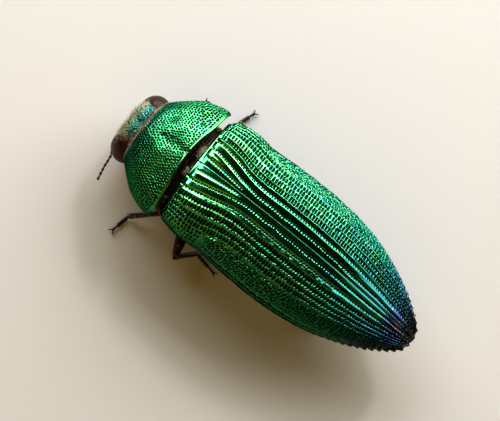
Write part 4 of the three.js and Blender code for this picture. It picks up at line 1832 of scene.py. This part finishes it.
@dataclass
class Leg:
    """One leg: hip, femur, tibia with its spurs, and a five-jointed foot with pads and claws."""

    name: str  # the end of its CAD nodes' names
    side: int  # 1 on the left, -1 on the right
    pair: LegPair  # what it shares with the leg across
    knee: Triple  # where the tibia starts
    ankle: Pair  # where the foot starts, seen from above
    toe: Pair  # where the foot ends, seen from above
    ankle_height: float = 0.22  # height of the tibia's end
    around: int = 26  # points round the femur and the tibia
    # ends of the foot's joints, as shares of its length
    foot_ends: Row = (0.0, 0.2, 0.36, 0.5, 0.62, 1.0)
    foot_heights: Row = (0.18, 0.15, 0.13, 0.125, 0.12, 0.1)  # heights of the joints' ends
    pad_height: float = 0.045  # height of the middle of a pad, whose sole lies on the floor

    def limb(self, start: Array, end: Array, rows: Rows, bow: float, flat: float, rings: int) -> Sheet:
        """Makes the femur or the tibia.

        Args:
            start: where it starts.
            end: where it ends.
            rows: [share of its length, half-width] along it.
            bow: how far its middle bows upward.
            flat: its width across as a share of its height.
            rings: rows of points along it.

        Returns:
            The limb, facing out.
        """
        t = np.linspace(0, 1, rings)
        path = line(start, end, t)
        path[:, 2] += bow * 4 * t * (1 - t)
        girth = bulb(t, rows)
        limb = sweep(path, girth * flat, girth, self.around)
        round_it = np.arange(self.around)[None, :] * 0.04
        grain = 0.004 * ripple(round_it, t[:, None] * np.linalg.norm(end - start), 0.07, 7.0)
        ends = 0.5 * hump(t, 0.06) + 0.6 * hump(1 - t, 0.05)
        limb.marks["thin"] = np.broadcast_to(ends[:, None], (rings, self.around))
        return limb.push(grain)

    def spines(self, knee: Array, ankle: Array) -> list[Sheet]:
        """Makes nine small spines on the sides of the tibia and two spurs at its end.

        Args:
            knee: where the tibia starts.
            ankle: where it ends.

        Returns:
            The spines and spurs.
        """
        axis = unit(ankle - knee)
        out = unit(np.cross(axis, (0, 0, 1)))
        down = np.cross(axis, out)
        straight = np.zeros(3)
        sheets = []
        for k in range(9):
            side = (-1) ** k
            root = knee + (ankle - knee) * (0.3 + 0.07 * k) + out * 0.06 * side
            sheets.append(spike(root, root + axis * 0.09 + out * 0.06 * side, 0.01, straight))
        for side in (-1, 1):
            root = ankle - axis * 0.03 + out * 0.05 * side
            tip = root + axis * 0.13 + out * 0.05 * side + down * 0.03
            tip[2] = max(tip[2], 0.03)
            sheets.append(spike(root, tip, 0.018, straight))
        return sheets

    def foot_joint(self, number: int, ankle: Array, run: Array) -> list[Sheet]:
        """Makes one joint of the foot, and the pad under it.

        Args:
            number: which joint it is, from 0; the last has no pad.
            ankle: the foot's start, on the floor.
            run: the way from there to its end.

        Returns:
            The joint, and its pad if it has one.
        """
        t = np.linspace(0, 1, 20)
        first, last = self.foot_ends[number], self.foot_ends[number + 1]
        start = ankle + run * first + (0, 0, self.foot_heights[number])
        end = ankle + run * last + (0, 0, self.foot_heights[number + 1])
        if number == len(self.foot_ends) - 2:
            girth = bulb(t, ((0, 0.03), (0.85, 0.05), (1, 0.045)))
            return [sweep(line(start, end, t), girth, girth, 16)]
        wide = bulb(t, ((0, 0.035), (0.75, 0.075), (1, 0.07)))
        joint = sweep(line(start, end, t), wide, bulb(t, ((0, 0.03), (0.75, 0.05), (1, 0.045))), 16)
        low, high = ankle + run * (first + 0.45 * (last - first)), ankle + run * (last + 0.02)
        wide = bulb(t, ((0, 0.04), (0.6, 0.075), (1, 0.06)))
        pad = sweep(line(low, high, t) + (0, 0, self.pad_height), wide, np.minimum(wide, 0.055), 16)
        pad.points[..., 2] = np.maximum(pad.points[..., 2], 0.0)
        pad.marks["thin"] = np.ones_like(pad.marks["thin"])
        return [joint, pad]

    def foot(self, ankle: Array, toe: Array) -> list[Sheet]:
        """Makes five joints with flat pads on the floor, and two hooked claws.

        Args:
            ankle: where the foot starts, on the floor.
            toe: where it ends.

        Returns:
            The joints, pads and claws.
        """
        run = toe - ankle
        axis = unit(run)
        across = np.array([-axis[1], axis[0], 0])
        sheets = [sheet for k in range(5) for sheet in self.foot_joint(k, ankle, run)]
        for side in (-1, 1):
            root = ankle + run * 0.98 + (0, 0, 0.1) + across * 0.025 * side
            tip = root + axis * 0.11 + across * 0.075 * side
            tip[2] = 0.012
            bend = axis * 0.03 + across * 0.03 * side + (0, 0, 0.035)
            sheets.append(spike(root, tip, 0.024, bend))
        return sheets

    def hip_joint(self) -> Sheet:
        """Makes the punctured hip.

        Returns:
            The hip, facing out.
        """
        middle = np.array(self.pair.coxa) * (self.side, 1, 1)
        hip = ovoid(middle, self.pair.coxa_radii, 50, 64)
        x, y, z = np.moveaxis(hip.points - middle, 2, 0)
        pit = fade(0.2, 0.45, nearest_pit(np.arctan2(y, x) * 0.4, z, 0.1, 0.4, 5.0))
        hip.marks["thin"] = 0.4 * pit
        return hip.push(-0.02 * pit)

    def build(self) -> None:
        """Makes the leg's pieces and its bristles."""
        hip, knee = np.array(self.pair.hip) * (self.side, 1, 1), np.array(self.knee)
        ankle, toe = np.array((*self.ankle, 0.0)), np.array((*self.toe, 0.0))
        shank_end = ankle + (0, 0, self.ankle_height)
        s = self.pair.stout
        thigh_girth = ((0, 0.1), (0.1, 0.5 * s), (0.45, s), (0.75, 0.85 * s), (0.93, 0.6 * s), (1, 0.55 * s))
        shank_girth = ((0, 0.08), (0.08, 0.105), (0.5, 0.1), (0.9, 0.115), (1, 0.1))
        femur = self.limb(hip, knee, thigh_girth, 0.03, 0.82, 90)
        tibia = self.limb(knee, shank_end, shank_girth, 0.05, 0.85, 80)
        trochanter = ovoid(hip, (0.12, 0.12, 0.1), 16, 20)
        knee_ball = ovoid(knee, (0.085, 0.085, 0.08), 16, 20)
        pieces = (
            ("hip", "coxa", [self.hip_joint()]),
            ("thigh", "femur", [femur, trochanter]),
            ("shank", "tibia", [tibia, knee_ball, *self.spines(knee, shank_end)]),
            ("foot", "tarsus", self.foot(ankle, toe)),
        )
        for part, node, sheets in pieces:
            dress(weave(f"{part}_{self.name}", sheets), LEG_BROWN, f"{node}_{self.name}")
        down_thigh, down_shank = tuple(unit(knee - hip)), tuple(unit(shank_end - knee))
        coats = [
            Coat(femur, 260, 0.1, 0.005, down_thigh, tint=0.2, seed=SEED + 41),
            Coat(tibia, 220, 0.08, 0.0045, down_shank, 0.45, tint=0.2, seed=SEED + 42),
        ]
        plant(f"leg_bristles_{self.name}", coats, SILVER_HAIR)


FORE = LegPair((0.52, -1.22, 1.04), (0.85, -1.1, 0.94), (0.4, 0.42, 0.34), 0.29)
MID = LegPair((0.56, 0.72, 0.98), (0.95, 0.82, 0.92), (0.4, 0.38, 0.32), 0.28)
HIND = LegPair((0.85, 2.95, 0.98), (0.98, 3.2, 0.9), (0.66, 0.3, 0.3), 0.27)
LEGS = (
    Leg("fore_left", 1, FORE, (1.86, 0.08, 1.1), (2.55, -0.82), (3.3, -0.96)),
    Leg("fore_right", -1, FORE, (-1.9, -0.1, 1.12), (-1.98, -1.36), (-2.72, -1.24)),
    Leg("mid_left", 1, MID, (2.82, 1.46, 1.08), (2.02, 2.0), (2.2, 2.95)),
    Leg("mid_right", -1, MID, (-2.34, 1.2, 1.34), (-2.82, 0.2), (-3.5, 0.42)),
    Leg("hind_left", 1, HIND, (1.74, 4.66, 0.98), (1.5, 6.1), (1.42, 7.1)),
    Leg("hind_right", -1, HIND, (-1.86, 4.5, 1.02), (-1.86, 5.96), (-1.9, 6.98)),
)
LEFT = ((0.5, -2.92, 1.0), (0.86, -2.96, 0.84), (1.26, -2.7, 0.82), (1.76, -2.62, 0.86), (2.32, -2.5, 0.92))
RIGHT = ((-0.5, -2.92, 1.0), (-0.85, -2.9, 0.74), (-1.25, -2.58, 0.52), (-1.5, -1.95, 0.5))
FEELERS = (Feeler("left", LEFT), Feeler("right", RIGHT))


# -------- studio


@dataclass(frozen=True)
class StudioFloor(Finish):
    """Matt painted board: rolled pale paint with the faint stipple of the roller."""

    name: str = "pale_painted_board"
    colour: str = "#b4b2ae"  # colour of the paint
    stipple_size: float = 1.5  # distance between the marks of the roller, in millimetres

    def sockets(self, tree: Tree) -> dict[str, Any]:
        """Builds the finish's nodes.

        Args:
            tree: the material's tree.

        Returns:
            The inputs of its surface shader.
        """
        (stipple,) = self.patterns(tree, (self.stipple_size, 3))
        bump = add_node(tree, "Bump", {"Strength": 0.1, "Distance": 0.05 * MM, "Height": stipple})
        return {"Base Color": linear(self.colour), "Roughness": 0.8, "Normal": bump.outputs["Normal"]}


@dataclass(frozen=True)
class SoftBox:
    """A soft rectangular light that faces the beetle."""

    name: str  # its name
    azimuth: float  # its bearing in degrees from the head's direction towards the beetle's left
    elevation: float  # its height in degrees
    away: float  # its distance in millimetres
    size: Pair  # its width and height in millimetres
    watts: float  # its power
    colour: Triple = (0.97, 0.97, 1.0)  # its linear colour, cool white unless told

    def build(self, target: Triple) -> None:
        """Adds the light.

        Args:
            target: what it faces, in the beetle's millimetres.
        """
        data = bpy.data.lights.new(self.name, "AREA")
        data.shape = "RECTANGLE"
        data.size, data.size_y = self.size[0] * MM, self.size[1] * MM
        data.energy = self.watts
        data.color = self.colour
        light = bpy.data.objects.new(self.name, data)
        a, e = math.radians(self.azimuth), math.radians(self.elevation)
        back = Vector((math.sin(a) * math.cos(e), -math.cos(a) * math.cos(e), math.sin(e)))
        light.location = (Vector(target) + back * self.away) * MM + Vector(ORIGIN)
        light.rotation_mode = "QUATERNION"
        light.rotation_quaternion = back.to_track_quat("Z", "Y")
        light.visible_camera = False
        bpy.context.scene.collection.objects.link(light)


@dataclass
class Studio:
    """The floor, the soft light and the camera."""

    target: Triple = (0.12, 2.53, 3.0)  # what the camera looks at, in the beetle's millimetres
    lean: float = 12.0  # how far the camera leans to the beetle's left of straight above, in degrees
    spin: float = 39.245  # angle of the body's axis in the picture, in degrees below level
    distance: float = 90.0  # from the camera to the target, in millimetres
    field_of_view: float = 17.86  # width of the picture at the target, in millimetres
    sensor: float = 36.0  # width of the camera's sensor, in millimetres
    floor: float = 3.0  # width of the floor, in metres
    reflected: Colour = (0.02, 0.044, 0.022, 1.0)  # linear colour of the dim room that the beetle mirrors
    # linear colour of the pale room that the camera sees past the floor
    backdrop: Colour = (0.62, 0.62, 0.61, 1.0)
    lights: tuple[SoftBox, ...] = (  # the soft boxes
        SoftBox("key", -92, 26, 110, (190, 107), 0.264),
        SoftBox("front", -30, 31, 110, (85, 80), 0.1),
        SoftBox("glint", -84, 40, 160, (18, 18), 0.055),
        SoftBox("glow", 92, 42, 130, (220, 170), 0.08, (1.0, 0.6, 0.16)),
    )

    def camera(self) -> None:
        """Adds the camera, above the beetle and a little to its left, with the body slanting down."""
        lean, spin = math.radians(self.lean), math.radians(self.spin)
        back = Vector((math.sin(lean), 0.0, math.cos(lean))).normalized()
        up = back.cross(Vector((-math.sin(spin), math.cos(spin), 0.0))).normalized()
        turn = Matrix((up.cross(back), up, back)).transposed().to_4x4()
        data = bpy.data.cameras.new("camera")
        data.sensor_width = self.sensor
        data.lens = self.sensor * self.distance / self.field_of_view
        data.clip_start, data.clip_end = MM, 10.0
        camera = bpy.data.objects.new("camera", data)
        place = Vector(self.target) + back * self.distance
        camera.matrix_world = Matrix.Translation(place * MM + Vector(ORIGIN)) @ turn
        bpy.context.scene.collection.objects.link(camera)
        bpy.context.scene.camera = camera

    def room(self) -> None:
        """Sets the room behind the lights: pale for the camera, and dim where the beetle mirrors it."""
        world = bpy.data.worlds.new("room")
        world.use_nodes = True
        tree = world.node_tree
        tree.nodes.clear()
        seen = add_node(tree, "LightPath").outputs["Is Camera Ray"]
        sockets = {0: seen, 6: self.reflected, 7: self.backdrop}
        colour = add_node(tree, "Mix", sockets, data_type="RGBA").outputs[2]
        back = add_node(tree, "Background", {"Color": colour}).outputs[0]
        add_node(tree, "OutputWorld", {"Surface": back})
        bpy.context.scene.world = world

    def build(self) -> None:
        """Makes the stage."""
        bpy.ops.mesh.primitive_plane_add(size=self.floor, location=(0, 0, 0))
        floor = bpy.context.object
        floor.name = "floor"
        floor.data.materials.append(StudioFloor().material())
        for light in self.lights:
            light.build(self.target)
        self.room()
        self.camera()


def main() -> None:
    """Builds the beetle piece by piece, then its stage."""
    logging.basicConfig(level=logging.INFO, format="%(message)s")
    bpy.context.scene.view_settings.view_transform = "Standard"
    bpy.context.scene.view_settings.look = "High Contrast"
    for assembly in (WingCases(), Prothorax(), Head(), *FEELERS, Underside(), *LEGS, Studio()):
        assembly.build()


if __name__ == "__main__":
    main()
